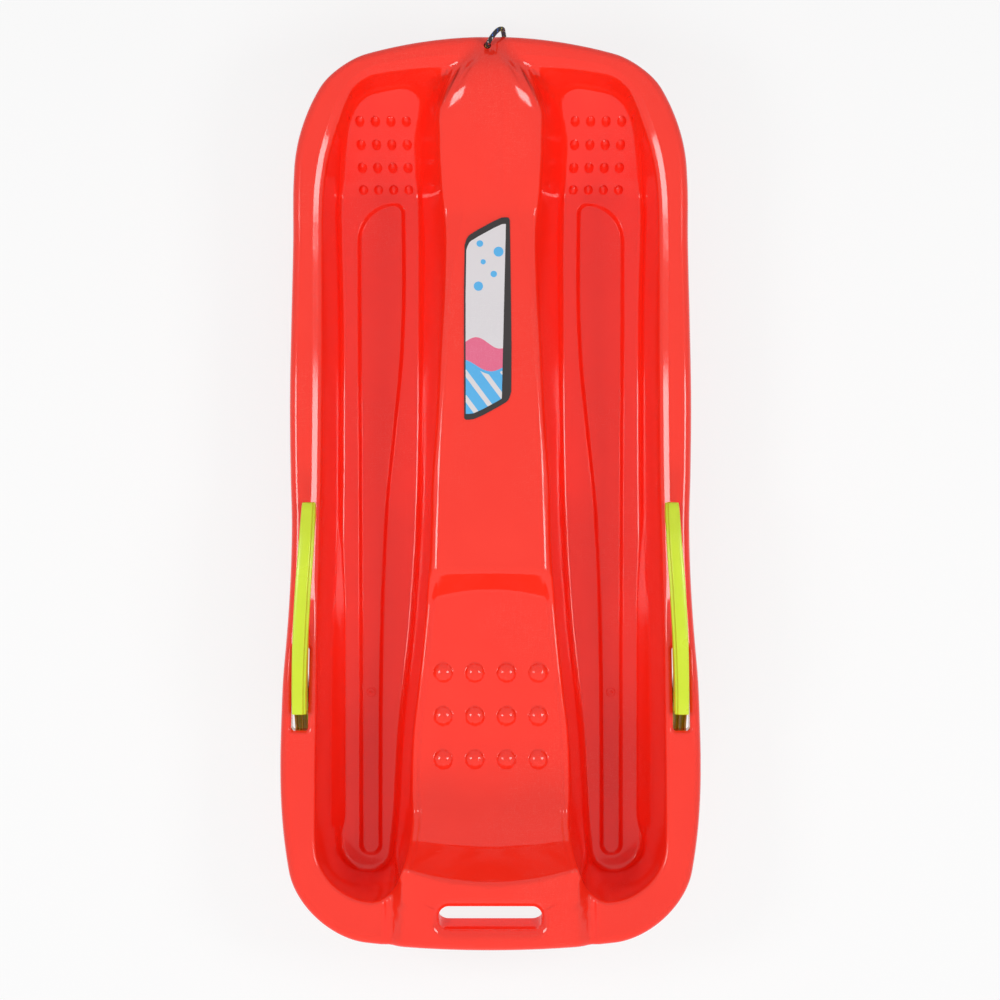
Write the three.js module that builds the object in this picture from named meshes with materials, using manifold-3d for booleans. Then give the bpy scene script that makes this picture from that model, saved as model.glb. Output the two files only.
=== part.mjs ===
// A plastic bob sled with two side brakes and a tow rope, in millimetres.
// +X is the rider's right, +Y points to the nose, +Z is up.
// The origin lies on the snow, under the middle of the hull.
import * as THREE from 'three';
import * as BufferGeometryUtils from 'three/addons/utils/BufferGeometryUtils.js';
import Module from 'manifold-3d';

const wasm = await Module();
wasm.setup();

// Driving sizes of the hull
const length = 890;
const width = 415;
const wall = 3;
const rimHeight = 117;
const noseRise = 31;
const tailRise = 20;
const spineHeight = 102;
const seatHeight = 80;
const platformHeight = 142;
const footPlaneSlope = 0.97;
const runnerDepth = 4;

const halfLength = length / 2;
const halfWidth = width / 2;
const floorHeight = wall + runnerDepth;

// Rim and its turned-down lip
const rimRound = 9;
const rimRoundDrop = 8;
const rimRoundSpread = 8.6;
const lipStart = 0.6;
const frontBow = 460;
const rearBow = 1120;
const frontCorner = 18;
const rearCorner = 58;
const bevelWidth = 7;
const bevelDrop = 3.5;
const bevelEdge = 0.8;
const bevelFullShare = -0.18;
const bevelEndShare = -0.33;

// Half width of the hull: [share of the half length, share of the half width]
const sideShares = [
  [-1, 0.866], [-0.935, 0.905], [-0.852, 0.947], [-0.764, 0.979], [-0.676, 0.996], [-0.589, 1],
  [-0.5, 0.996], [-0.411, 0.988], [-0.324, 0.972], [-0.235, 0.958], [-0.146, 0.949], [-0.058, 0.946],
  [0.031, 0.951], [0.209, 0.955], [0.387, 0.948], [0.562, 0.938], [0.695, 0.933], [0.737, 0.926],
  [0.781, 0.908], [0.824, 0.878], [0.866, 0.837], [0.908, 0.782], [0.951, 0.713], [1, 0.629],
];

// Width of the rim band beside each leg trough: [share of the half length, share of the widest band]
const rimBand = 34;
const rimBandShares = [
  [-0.9, 0.817], [-0.852, 0.855], [-0.82, 0.874], [-0.77, 0.905], [-0.676, 1.001], [-0.589, 1.027],
  [-0.5, 1.017], [-0.454, 1.005], [-0.411, 0.984], [-0.324, 0.905], [-0.235, 0.842], [-0.146, 0.816],
  [-0.058, 0.829], [-0.012, 0.856], [0.031, 0.883], [0.153, 0.927], [0.209, 0.934], [0.387, 0.901],
  [0.43, 0.889], [0.54, 0.855], [0.62, 0.861], [0.68, 0.895], [0.737, 0.963], [0.781, 1.015],
  [0.82, 1.039], [0.866, 1.017], [0.908, 0.951], [0.95, 0.852],
];
// Leg troughs. Edges of the walls: [share of the half length, share of the half width]
const outerFootShares = [
  [-0.9, 0.745], [-0.77, 0.761], [-0.45, 0.764], [-0.235, 0.757], [-0.012, 0.749], [0.162, 0.747],
  [0.454, 0.749], [0.6, 0.757], [0.668, 0.76], [0.72, 0.752], [0.791, 0.73], [0.858, 0.69], [0.91, 0.616],
];
const innerTopShares = [
  [-0.9, 0.44], [-0.838, 0.425], [-0.8, 0.395], [-0.759, 0.378], [-0.662, 0.379], [-0.532, 0.37],
  [-0.437, 0.347], [-0.243, 0.306], [-0.146, 0.289], [0.032, 0.279], [0.155, 0.26], [0.346, 0.237],
  [0.473, 0.222], [0.599, 0.217], [0.685, 0.235], [0.781, 0.244], [0.863, 0.231], [0.92, 0.16],
  [0.96, 0.1],
];
const innerFootShares = [
  [-0.9, 0.5], [-0.862, 0.494], [-0.769, 0.479], [-0.536, 0.449], [-0.303, 0.394], [-0.07, 0.362],
  [0.162, 0.351], [0.453, 0.351], [0.628, 0.351], [0.75, 0.357], [0.818, 0.359], [0.885, 0.323],
  [0.928, 0.289],
];
const rearBand = 46.5;
const rearWallRun = 9.8;
const frontBand = 26.8;
const frontWallRun = 4;
const troughRear = rearBand - halfLength;
const troughRearFoot = troughRear + rearWallRun;
const troughFront = halfLength - frontBand;
const troughFrontBow = 650;
const troughFrontFoot = troughFront - frontWallRun;
const topOuterRearRound = 50;
const topInnerRearRound = 26;
const topOuterFrontRound = 14;
const topInnerFrontRound = 14;
const footOuterRearRound = 27;
const footInnerRearRound = 22;
const footOuterFrontRound = 12;
const footInnerFrontRound = 28;
const topFillet = 4;
const footFillet = 6;

// Foot rest at the front of each trough
const footPlaneLength = 98.2;
const footPlaneStart = troughFrontFoot - footPlaneLength;
const footPlaneBlend = 10;

// Low ledge along the outer wall beside the rider
const ledgeFootShare = 0.729;
const ledgeFoot = halfWidth * ledgeFootShare;
const ledgeSlope = 2.89;
const ledgeFrontShare = -0.247;
const ledgeFrontEnd = halfLength * ledgeFrontShare;
const ledgeFrontFade = 0.12;
const ledgeRearShare = -0.753;
const ledgeRearEnd = halfLength * ledgeRearShare;
const ledgeRearFade = 0.9;
const ledgeBlend = 3;

// Runner pressed into each trough floor
const runnerOuterShares = [[-0.9, 0.66], [-0.25, 0.662], [0.162, 0.666], [0.475, 0.669], [0.72, 0.669]];
const runnerInnerShares = [
  [-0.9, 0.54], [-0.65, 0.54], [-0.42, 0.537], [-0.187, 0.525], [-0.012, 0.505], [0.163, 0.467],
  [0.3, 0.438], [0.396, 0.427], [0.72, 0.427],
];
const runnerToPlane = 12.6;
const runnerToWall = 14.2;
const runnerFront = footPlaneStart - runnerToPlane;
const runnerRear = troughRearFoot + runnerToWall;
const runnerOuterFrontRound = 40;
const runnerInnerFrontRound = 12;
const runnerRearRound = 12.2;
const runnerEdge = 3.2;

// Nose hump on the spine: [share of the way from its start to the front, share of the hump's height]
const noseAnchorInset = 24;
const noseAnchor = runnerFront - noseAnchorInset;
const humpBeforeAnchor = 12.4;
const humpStart = noseAnchor - humpBeforeAnchor;
const humpRun = halfLength - humpStart;
const humpHeight = 53;
const humpShares = [
  [0, 0], [0.075, 0.005], [0.15, 0.07], [0.325, 0.33], [0.475, 0.6], [0.625, 0.85], [0.7375, 0.975],
  [0.825, 1], [0.8875, 0.94], [0.9375, 0.87], [1, 0.86],
];
const crownShares = [
  [-0.1, 0.02], [0, 0.03], [0.2125, 0.08], [0.45, 0.14], [0.6575, 0.2], [0.825, 0.18], [1, 0],
];
const crownEndShare = 0.3;
const crownStartShare = 0.3;
const saddleDepth = 1.5;
const chamferShares = [
  [-0.17, 0.26], [0.155, 0.235], [0.34, 0.205], [0.483, 0.186], [0.562, 0.158], [0.636, 0.125],
];
const chamferDrop = 3;

// Seat and back
const seatStepShare = -0.1724;
const seatStepRun = 19.2;
const seatStepTop = halfLength * seatStepShare;
const seatStepFoot = seatStepTop - seatStepRun;
const seatStepBow = 168.4;
const seatStepBlend = 3;
const seatRimWidth = 9;
const seatRimRise = 2.5;
const backTopToRear = 65.9;
const backUpperRun = 30.5;
const backLowerRun = 26;
const backTop = backTopToRear - halfLength;
const backCrease = backTop + backUpperRun;
const backFoot = backCrease + backLowerRun;
const backCreaseRise = 18;
const backFootBow = 833;
const backCreaseBow = 588;
const backTopBow = 223.7;
const backFootBlend = 6;
const backCreaseBlend = 1.5;
const backTopBlend = 3;

// Rear platform and its hand grip
const platformSideShare = 0.4434;
const platformSide = halfWidth * platformSideShare;
const platformSideRun = 8;
const platformFall = 2;
const valleyHalf = 7;
const valleyPlace = platformSide + valleyHalf;
const valleyDepth = 3;
const gripSlotHalf = 50.5;
const gripBar = 21;
const gripSlotOpening = 23;
const gripSlotRear = gripBar - halfLength;
const gripSlotFront = gripSlotRear + gripSlotOpening;
const gripSlotRound = 10;
const gripDishReach = 10;
const gripDishDepth = 6;
const gripCollarDepth = 16;
const gripCollarLean = 4;

// Rope hole in the front rim
const ropeHoleX = -2.9;
const ropeHoleInset = 10.2;
const ropeHoleY = halfLength - ropeHoleInset;
const ropeHoleRadius = 3.4;

// Brake slot, lugs and pin
const pinShare = -0.445;
const pinY = halfLength * pinShare;
const pinDrop = 14;
const pinZ = rimHeight - pinDrop;
const slotInset = 18.4;
const slotHalfWidth = 8.4;
const slotLean = 0.018;
const slotAhead = 48.2;
const slotBehind = 34.3;
const slotFront = pinY + slotAhead;
const slotRear = pinY - slotBehind;
const slotRound = 3;
const slotLipReach = 4;
const slotLipDrop = 2.2;
const pinRadius = 2.5;
const pinClearance = 0.3;
const pinSides = 16;
const pinHeadRadius = 4;
const pinHeadThickness = 1.2;
const lugThickness = 3.5;
const lugDrop = 9;

// Bumps
const seatBumpRadius = 10;
const seatBumpHeight = 3.2;
const seatBumpPitchX = 31.7;
const seatBumpToStep = 82.5;
const seatBumpPitchY = 43.4;
const seatBumpRows = 3;
const seatBumpColumns = 4;
const footBumpRadius = 4.6;
const footBumpHeight = 2.2;
const footBumpPitchX = 15.6;
const footBumpShare = 0.41;
const footBumpInner = halfWidth * footBumpShare;
const footBumpToPlane = 60.2;
const footBumpPitchY = 20.3;
const footBumpRows = 4;
const footBumpColumns = 4;

// Brake levers. Tables run from the pin to the lever's front end: [share of the reach, share of the rise]
const leverReach = 189.7;
const leverRise = 48;
const leverTopShares = [
  [-0.0886, 0.583], [-0.037, 0.677], [0.042, 0.76], [0.2, 0.875], [0.411, 0.969], [0.569, 1],
  [0.727, 0.985], [0.859, 0.917], [0.938, 0.823], [0.986, 0.76], [1, 0.729],
];
const leverUnderShares = [
  [-0.0886, 0.188], [0.174, 0.19], [0.2425, 0.317], [0.274, 0.4], [0.332, 0.552], [0.411, 0.667],
  [0.543, 0.719], [0.701, 0.715], [0.807, 0.677], [0.87, 0.583], [0.907, 0.396], [0.925, 0.298],
  [0.968, 0.298], [0.983, 0.33], [1, 0.375],
];
const leverStations = [
  -0.0886, -0.07, -0.04, 0.02, 0.1, 0.174, 0.21, 0.2425, 0.274, 0.3, 0.332, 0.37, 0.411, 0.48, 0.56, 0.64,
  0.72, 0.8, 0.85, 0.88, 0.907, 0.925, 0.968, 0.985, 1,
];
const leverWidthShares = [
  [-0.0886, 0.98], [0.06, 1], [0.25, 1.06], [0.54, 1.085], [0.83, 1.04], [0.97, 0.96], [1, 0.92],
];
// Sideways bend of the grip towards the spine: [share of the reach, share of the bend]
const leverBendShares = [
  [-0.0886, 0.02], [0.0628, 0.095], [0.255, 0.238], [0.5425, 0.543], [0.829, 0.895], [1, 1],
];
const leverSideGap = 1.3;
const leverHalfWidth = slotHalfWidth - leverSideGap;
const leverBend = 10.5;
const restGap = 0.3;
const hubRadius = 9;
const hubSides = 24;
const webSideGap = 1;
const webHalf = slotHalfWidth - webSideGap;
const webFront = 28;
const webRear = -15;
const bladeFall = 33;
const bladeReach = 125;
const bladeUnder = -5;
const bladeRootTop = 7;
const bladeTipTop = 2;
const bladeWall = 2;
const bladePocketStart = 14;
const bladeTipChamfer = 4;

// Sticker on the spine
const labelThickness = 0.5;
const labelLeft = -26.3;
const labelBeforeAnchor = 4.9;
const labelFront = noseAnchor - labelBeforeAnchor;
const labelWidth = 47.5;
const labelLength = 200.7;
const labelShares = [
  [0, 0.0149], [0.015, 0.004], [0.057, 0], [0.251, 0.005], [0.861, 0.0837], [0.937, 0.1016],
  [1, 0.153], [0.958, 0.9801], [0.941, 0.9955], [0.886, 1], [0.749, 0.9975], [0.145, 0.9193],
  [0.061, 0.8989], [0, 0.852],
];

// Tow rope, with its spare length coiled on the snow under the nose
const ropeRadius = 2.25;
const ropeSides = 8;
const ropeStep = 4.5;
const knotRadius = 5.8;
const knotLength = 10;
const knotSides = 12;
const knotEndShare = 0.62;
const archRise = 11;
const archReachX = 5.9;
const hangX = 13.5;
const hangGap = 4.8;
const hangY = halfLength + hangGap;
const coilX = -20;
const coilInset = 77;
const coilY = halfLength - coilInset;
const coilRadius = 33.4;
const coilPitch = 5;
const coilTurns = 7.2;
const coilClimbTurns = 0.5;
const coilReverseBlend = 0.12;
const coilUnder = 1.4;
const coilStepsPerTurn = 24;
const coilSides = 6;
const coilStraightSteps = 4;
const coilLeadLength = 9.7;
const coilTailLength = 25;
const coilTailDropStart = 0.42;
const coilTailDropEnd = 0.8;
const tieAngle = 150;
const tieWidth = 4;
const tieThickness = 0.8;
const tieClearance = 0.35;
const tieRound = 2.4;

// Small shared helpers

// A smooth curve through a table of shares, as a function of the first column
function through(shares, placeScale, valueScale) {
  const places = shares.map((share) => share[0] * placeScale);
  const values = shares.map((share) => share[1] * valueScale);
  const last = places.length - 1;
  const steps = places.slice(1).map((place, i) => place - places[i]);
  const rises = steps.map((step, i) => (values[i + 1] - values[i]) / step);
  const slopes = places.map((_, i) => {
    if (i === 0) return rises[0];
    if (i === last) return rises[last - 1];
    return (rises[i - 1] * steps[i] + rises[i] * steps[i - 1]) / (steps[i - 1] + steps[i]);
  });
  return (place) => {
    if (place <= places[0]) return { value: values[0], slope: 0 };
    if (place >= places[last]) return { value: values[last], slope: 0 };
    let i = 0;
    while (place > places[i + 1]) i += 1;
    const h = steps[i];
    const t = (place - places[i]) / h;
    const value = values[i] * (1 + 2 * t) * (1 - t) ** 2 + values[i + 1] * t * t * (3 - 2 * t)
      + h * (slopes[i] * t * (1 - t) ** 2 - slopes[i + 1] * t * t * (1 - t));
    const slope = 6 * t * (1 - t) * rises[i] + slopes[i] * (1 - t) * (1 - 3 * t)
      + slopes[i + 1] * t * (3 * t - 2);
    return { value, slope };
  };
}

// Distance inside two sides at once, with their corner rounded
function roundedInside(a, b, radius) {
  const past = Math.hypot(Math.max(radius - a, 0), Math.max(radius - b, 0));
  return Math.max(radius, Math.min(a, b)) - past;
}

// A ramp that starts at zero, with a soft start of the given half length
function softRamp(distance, blend) {
  if (distance <= -blend) return 0;
  if (distance >= blend) return distance;
  return (distance + blend) ** 2 / (4 * blend);
}

function smoothStep(from, to, value) {
  const t = Math.min(Math.max((value - from) / (to - from), 0), 1);
  return t * t * (3 - 2 * t);
}

function softMax(a, b, blend) {
  const overlap = Math.max(blend - Math.abs(a - b), 0);
  return Math.max(a, b) + overlap * overlap / (4 * blend);
}

// How far a filleted wall has dropped. inTop is the distance past its top edge, inFoot past its foot.
function wallDrop(inTop, inFoot, depth) {
  const run = Math.max(inTop - inFoot, wall / 10);
  const tilt = Math.atan2(depth, run);
  const reachTop = topFillet * Math.tan(tilt / 2);
  const reachFoot = footFillet * Math.tan(tilt / 2);
  if (inTop <= -reachTop) return 0;
  if (inFoot >= reachFoot) return depth;
  if (inTop + reachTop < topFillet * Math.sin(tilt)) {
    return topFillet - Math.sqrt(topFillet ** 2 - (inTop + reachTop) ** 2);
  }
  if (reachFoot - inFoot < footFillet * Math.sin(tilt)) {
    return depth - footFillet + Math.sqrt(footFillet ** 2 - (reachFoot - inFoot) ** 2);
  }
  return depth * inTop / run;
}

const sideOf = through(sideShares, halfLength, halfWidth);
const rimBandOf = through(rimBandShares, halfLength, rimBand);
const outerFootOf = through(outerFootShares, halfLength, halfWidth);
const slotCentre = sideOf(pinY).value - slotInset;
const innerTopOf = through(innerTopShares, halfLength, halfWidth);
const innerFootOf = through(innerFootShares, halfLength, halfWidth);
const runnerOuterOf = through(runnerOuterShares, halfLength, halfWidth);
const runnerInnerOf = through(runnerInnerShares, halfLength, halfWidth);
const humpOf = through(humpShares, humpRun, humpHeight);
const crownOf = through(crownShares, humpRun, humpHeight);
const chamferOf = through(chamferShares, halfLength, halfWidth);

// Outer top edge of a trough, the rim band's width inside the outline
function outerTopOf(y) {
  const side = sideOf(y);
  const band = rimBandOf(y);
  return { value: side.value - band.value, slope: side.slope - band.slope };
}

function insideCurve(curve, x, sign) {
  return sign * (curve.value - x) / Math.hypot(1, curve.slope);
}

// Distance inside the outline of the hull
function insideOutline(x, y) {
  const side = insideCurve(sideOf(y), x, 1);
  const front = halfLength - x * x / (2 * frontBow) - y;
  const rear = y + halfLength - x * x / (2 * rearBow);
  return Math.min(roundedInside(side, front, frontCorner), roundedInside(side, rear, rearCorner));
}

// Distance inside a trough, at its top edge and at the foot of its walls
function insideTrough(x, y) {
  const outerTop = insideCurve(outerTopOf(y), x, 1);
  const innerTop = insideCurve(innerTopOf(y), x, -1);
  const frontTop = troughFront - x * x / (2 * troughFrontBow) - y;
  const rearTop = y - troughRear;
  const top = Math.min(
    roundedInside(outerTop, rearTop, topOuterRearRound),
    roundedInside(innerTop, rearTop, topInnerRearRound),
    roundedInside(outerTop, frontTop, topOuterFrontRound),
    roundedInside(innerTop, frontTop, topInnerFrontRound),
  );
  const outerFoot = insideCurve(outerFootOf(y), x, 1);
  const innerFoot = insideCurve(innerFootOf(y), x, -1);
  const frontFoot = troughFrontFoot - x * x / (2 * troughFrontBow) - y;
  const rearFoot = y - troughRearFoot;
  const foot = Math.min(
    roundedInside(outerFoot, rearFoot, footOuterRearRound),
    roundedInside(innerFoot, rearFoot, footInnerRearRound),
    roundedInside(outerFoot, frontFoot, footOuterFrontRound),
    roundedInside(innerFoot, frontFoot, footInnerFrontRound),
  );
  return { top, foot };
}

function insideRunner(x, y) {
  const outer = insideCurve(runnerOuterOf(y), x, 1);
  const inner = insideCurve(runnerInnerOf(y), x, -1);
  const front = runnerFront - y;
  const rear = y - runnerRear;
  return Math.min(
    roundedInside(outer, front, runnerOuterFrontRound),
    roundedInside(inner, front, runnerInnerFrontRound),
    roundedInside(outer, rear, runnerRearRound),
    roundedInside(inner, rear, runnerRearRound),
  );
}

// Distance outside the hand slot, the rope hole and the brake slot
function outsideGripSlot(x, y) {
  const end = gripSlotHalf - x;
  const front = gripSlotFront - y;
  const rear = y - gripSlotRear;
  return -Math.min(roundedInside(end, front, gripSlotRound), roundedInside(end, rear, gripSlotRound));
}

function outsideRopeHole(x, y) {
  return Math.hypot(x - ropeHoleX, y - ropeHoleY) - ropeHoleRadius;
}

function outsideBrakeSlot(x, y) {
  const sideways = slotHalfWidth - Math.abs(x - slotCentre - slotLean * (pinY - y));
  const along = Math.min(slotFront - y, y - slotRear);
  return -roundedInside(sideways, along, slotRound);
}

// Height of the rim band
function rimTop(y) {
  const front = Math.max(y - halfLength / 3, 0) / (halfLength * 2 / 3);
  const rear = Math.max(-y - halfLength * 0.45, 0) / (halfLength * 0.55);
  return rimHeight + noseRise * front * front + tailRise * rear * rear;
}

// Height of the middle: nose hump, spine, seat, back and platform
function spineTop(x, y) {
  const edge = innerTopOf(y).value;
  const across = x / edge;
  let height = spineHeight + humpOf(y - humpStart).value;
  const onNose = smoothStep(humpStart, humpStart + humpRun * crownEndShare, y);
  const crown = crownOf(y - humpStart).value;
  height -= crown * onNose * (Math.max(across - crownStartShare, 0) / (1 - crownStartShare)) ** 2;
  height -= saddleDepth * onNose * Math.max(1 - (across / crownStartShare) ** 2, 0) ** 2;
  const chamferStart = chamferOf(y).value;
  const onChamfer = softRamp(x - chamferStart, bevelDrop / 4) / Math.max(edge - chamferStart, topFillet);
  height -= chamferDrop * onChamfer * (1 - onNose) * smoothStep(seatStepTop - bevelWidth, seatStepTop, y);
  const stepRun = seatStepTop - seatStepFoot + x * x / (2 * seatStepBow);
  const stepSlope = (spineHeight - seatHeight) / stepRun;
  height -= stepSlope * softRamp(seatStepTop - y, seatStepBlend);
  height += stepSlope * softRamp(seatStepTop - stepRun - y, seatStepBlend);
  const inSeat = smoothStep(seatStepTop, seatStepFoot - bevelWidth, y) * smoothStep(backTop, backCrease, y);
  height += seatRimRise * inSeat * smoothStep(edge - seatRimWidth, edge - topFillet, x);
  const foot = backFoot + x * x / (2 * backFootBow);
  const crease = backCrease + x * x / (2 * backCreaseBow);
  const top = backTop + x * x / (2 * backTopBow);
  const lowSlope = backCreaseRise / (foot - crease);
  const highSlope = (platformHeight - seatHeight - backCreaseRise) / (crease - top);
  height += lowSlope * softRamp(foot - y, backFootBlend);
  height += (highSlope - lowSlope) * softRamp(crease - y, backCreaseBlend);
  height -= highSlope * softRamp(top - y, backTopBlend);
  height -= platformFall * smoothStep(backTop, -halfLength, y);
  return height;
}

// Height of everything that the troughs are sunk into
function plateau(x, y) {
  const rim = rimTop(y);
  const middle = spineTop(x, y);
  const atFront = smoothStep(halfLength * 0.86, halfLength * 0.95, y);
  const atRear = smoothStep(-halfLength * 0.8, -halfLength * 0.85, y);
  const edge = innerTopOf(y).value;
  const midStart = THREE.MathUtils.lerp(innerFootOf(y).value, edge * 0.3, atFront);
  const midEnd = THREE.MathUtils.lerp(outerFootOf(y).value, edge + 2 * topFillet, atFront);
  const start = THREE.MathUtils.lerp(midStart, platformSide - platformSideRun, atRear);
  const end = THREE.MathUtils.lerp(midEnd, platformSide + platformSideRun / 2, atRear);
  const outward = smoothStep(start, end, x);
  let height = THREE.MathUtils.lerp(middle, rim, outward);
  const valley = Math.max(1 - ((x - valleyPlace) / valleyHalf) ** 2, 0) ** 2;
  height -= valleyDepth * valley * atRear;
  return height;
}

function floorTop(x, y) {
  let height = floorHeight + footPlaneSlope * softRamp(y - footPlaneStart, footPlaneBlend);
  const inRunner = insideRunner(x, y);
  height -= runnerDepth * smoothStep(0, runnerEdge, inRunner);
  return height;
}

// Height of the hull's upper face
function hullTop(signedX, y) {
  const x = Math.abs(signedX);
  const trough = insideTrough(x, y);
  let high = plateau(x, y);
  const inBevel = trough.top + bevelWidth + topFillet / 2;
  const bevelled = (softRamp(inBevel, bevelEdge) - softRamp(inBevel - bevelWidth, bevelEdge)) / bevelWidth;
  high -= bevelDrop * bevelled * smoothStep(halfLength * bevelEndShare, halfLength * bevelFullShare, y)
    * smoothStep(innerTopOf(y).value, innerTopOf(y).value + 2 * bevelWidth, x);
  const low = floorTop(x, y);
  let height = high - wallDrop(trough.top, trough.foot, high - low);
  if (trough.top > 0) {
    const ledge = floorHeight + (x - ledgeFoot) * ledgeSlope
      - ledgeFrontFade * softRamp(y - ledgeFrontEnd, bevelWidth)
      - ledgeRearFade * softRamp(ledgeRearEnd - y, bevelWidth);
    if (trough.foot < runnerEdge * 4 && x > ledgeFoot - runnerEdge) {
      height = softMax(height, Math.min(ledge, high), ledgeBlend);
    }
  }
  const rim = insideOutline(x, y);
  if (rim < rimRound) {
    const turn = (rimRound - Math.max(rim, lipStart)) / rimRoundSpread;
    height -= rimRoundDrop * (1 - Math.sqrt(1 - turn * turn));
    const lipTurn = (rimRound - lipStart) / rimRoundSpread;
    const lipSlope = rimRoundDrop / rimRoundSpread * lipTurn / Math.sqrt(1 - lipTurn * lipTurn);
    height -= lipSlope * Math.max(lipStart - rim, 0);
  }
  const grip = outsideGripSlot(x, y);
  height -= gripDishDepth * Math.max(1 - Math.max(grip, 0) / gripDishReach, 0) ** 2;
  const slot = outsideBrakeSlot(x, y);
  height -= slotLipDrop * Math.max(1 - Math.max(slot, 0) / slotLipReach, 0) ** 2;
  return height;
}

// Height of the hull's lower face: the upper face set back by the wall, measured square to it
function hullUnder(x, y) {
  const reach = wall / 60;
  const slopeX = (hullTop(x + reach, y) - hullTop(x - reach, y)) / (2 * reach);
  const slopeY = (hullTop(x, y + reach) - hullTop(x, y - reach)) / (2 * reach);
  const slope = Math.hypot(slopeX, slopeY);
  let lowest = hullTop(x, y) - wall;
  if (slope < 1e-6) return lowest;
  const samples = 14;
  for (let i = 1; i < samples; i += 1) {
    const turn = (Math.PI / 2) * (i / samples);
    const away = wall * Math.sin(turn);
    const there = hullTop(x - (slopeX / slope) * away, y - (slopeY / slope) * away);
    lowest = Math.min(lowest, there - wall * Math.cos(turn));
  }
  return lowest;
}

// The hull's flat plan: rays from the middle of each trough out to the outline and to the centre line
const rearAnchor = runnerRear + runnerRearRound;
const frontFan = [16, 32, 44, 55, 66, 78, 91, 104, 114, 119.5];
const frontFanInner = [135, 147, 160];
const rearFanInner = [-174, -168, -158];
const rearFan = [-132, -116, -98, -80, -64, -48, -32, -16];
const cornerShares = [0.18, 0.55, 1.1, 2.2];
const plateauRingShares = [[1.55, 2.9], [1, 2], [0.5, 1.1], [0.13, 0.4]];

function between(from, to, count) {
  return Array.from({ length: count }, (_, i) => from + (to - from) * (i / count));
}

function hullRays() {
  const stations = [
    ...between(noseAnchor, seatStepTop, 7),
    ...between(seatStepTop, seatStepFoot, 2),
    ...between(seatStepFoot, backFoot, 5),
    ...between(backFoot, rearAnchor, 3),
    rearAnchor,
  ];
  const anchorAt = (y) => [(runnerOuterOf(y).value + runnerInnerOf(y).value) / 2, y];
  const front = anchorAt(noseAnchor);
  const rear = anchorAt(rearAnchor);
  const ray = (anchor, angle) => ({ anchor, along: [Math.cos(angle), Math.sin(angle)] });
  const degree = THREE.MathUtils.degToRad;
  const cornerSteps = cornerShares.map((share) => share * rimRound);
  return [
    ...[...stations].reverse().map((y) => ray(anchorAt(y), 0)),
    ...frontFan.map((angle) => ray(front, degree(angle))),
    ray(front, Math.atan2(halfLength - front[1], -front[0])),
    ...cornerSteps.map((step) => ray(front, Math.atan2(halfLength - step - front[1], -front[0]))),
    ...frontFanInner.map((angle) => ray(front, degree(angle))),
    ...stations.map((y) => ray(anchorAt(y), Math.PI)),
    ...rearFanInner.map((angle) => ray(rear, degree(angle))),
    ...cornerSteps.map((step) => ray(rear, Math.atan2(step - halfLength - rear[1], -rear[0]))).reverse(),
    ray(rear, Math.atan2(-halfLength - rear[1], -rear[0])),
    ...rearFan.map((angle) => ray(rear, degree(angle))),
  ];
}

// Where a ray first leaves the place in which the given measure is positive
function leaves(ray, measure, from) {
  const at = (t) => measure(ray.anchor[0] + ray.along[0] * t, ray.anchor[1] + ray.along[1] * t);
  const stride = wall / 2;
  let low = from;
  while (at(low + stride) > 0 && low < length) low += stride;
  let high = low + stride;
  for (let i = 0; i < 40; i += 1) {
    const middle = (low + high) / 2;
    if (at(middle) > 0) low = middle;
    else high = middle;
  }
  return (low + high) / 2;
}

function ringsOn(ray) {
  const levels = [
    (x, y) => insideRunner(x, y) - runnerEdge,
    (x, y) => insideRunner(x, y),
    (x, y) => Math.min(insideTrough(x, y).foot - 1.6 * footFillet, footPlaneStart - y),
    (x, y) => insideTrough(x, y).foot - footFillet * 0.9,
    (x, y) => insideTrough(x, y).foot - footFillet * 0.1,
    (x, y) => insideTrough(x, y).top,
    (x, y) => insideTrough(x, y).top + topFillet * 0.6,
    (x, y) => Math.min(
      insideTrough(x, y).top + bevelWidth + topFillet / 2, insideOutline(x, y) - 1.7 * rimRound,
    ),
    ...plateauRingShares.map(([fromOutline, fromCentre]) => (x, y) => (
      Math.min(insideOutline(x, y) / fromOutline, x / fromCentre) - rimRound
    )),
    (x, y) => Math.min(insideOutline(x, y), x),
  ];
  const distances = [0];
  levels.forEach((level) => distances.push(leaves(ray, level, distances.at(-1))));
  return distances.map((t) => [ray.anchor[0] + ray.along[0] * t, ray.anchor[1] + ray.along[1] * t]);
}

// A flat mesh of points and triangles, which keeps equal points once
class FlatMesh {
  constructor() {
    this.points = [];
    this.triangles = [];
    this.known = new Map();
  }

  add([x, y]) {
    const key = `${Math.round(x * 1e4)},${Math.round(y * 1e4)}`;
    if (!this.known.has(key)) {
      this.known.set(key, this.points.length);
      this.points.push([x, y]);
    }
    return this.known.get(key);
  }

  triangle(a, b, c) {
    if (a !== b && b !== c && c !== a) this.triangles.push([a, b, c]);
  }
}

function hullPlan() {
  const plan = new FlatMesh();
  const rows = hullRays().map(ringsOn);
  const place = ([x, y], side) => plan.add([Math.abs(x) < 1e-3 ? 0 : side * x, y]);
  const rise = (a, b) => Math.abs(hullTop(...a) - hullTop(...b)) + Math.hypot(a[0] - b[0], a[1] - b[1]);
  for (const side of [1, -1]) {
    rows.forEach((row, j) => {
      const next = rows[(j + 1) % rows.length];
      for (let k = 0; k + 1 < row.length; k += 1) {
        const [a, b, c, d] = [row[k], row[k + 1], next[k + 1], next[k]];
        const corners = [a, b, c, d].map((corner) => place(corner, side));
        const split = rise(a, c) <= rise(b, d) ? [[0, 1, 2], [0, 2, 3]] : [[0, 1, 3], [1, 2, 3]];
        for (const [p, q, r] of split) {
          if (side > 0) plan.triangle(corners[p], corners[q], corners[r]);
          else plan.triangle(corners[p], corners[r], corners[q]);
        }
      }
    });
  }
  return plan;
}

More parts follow.
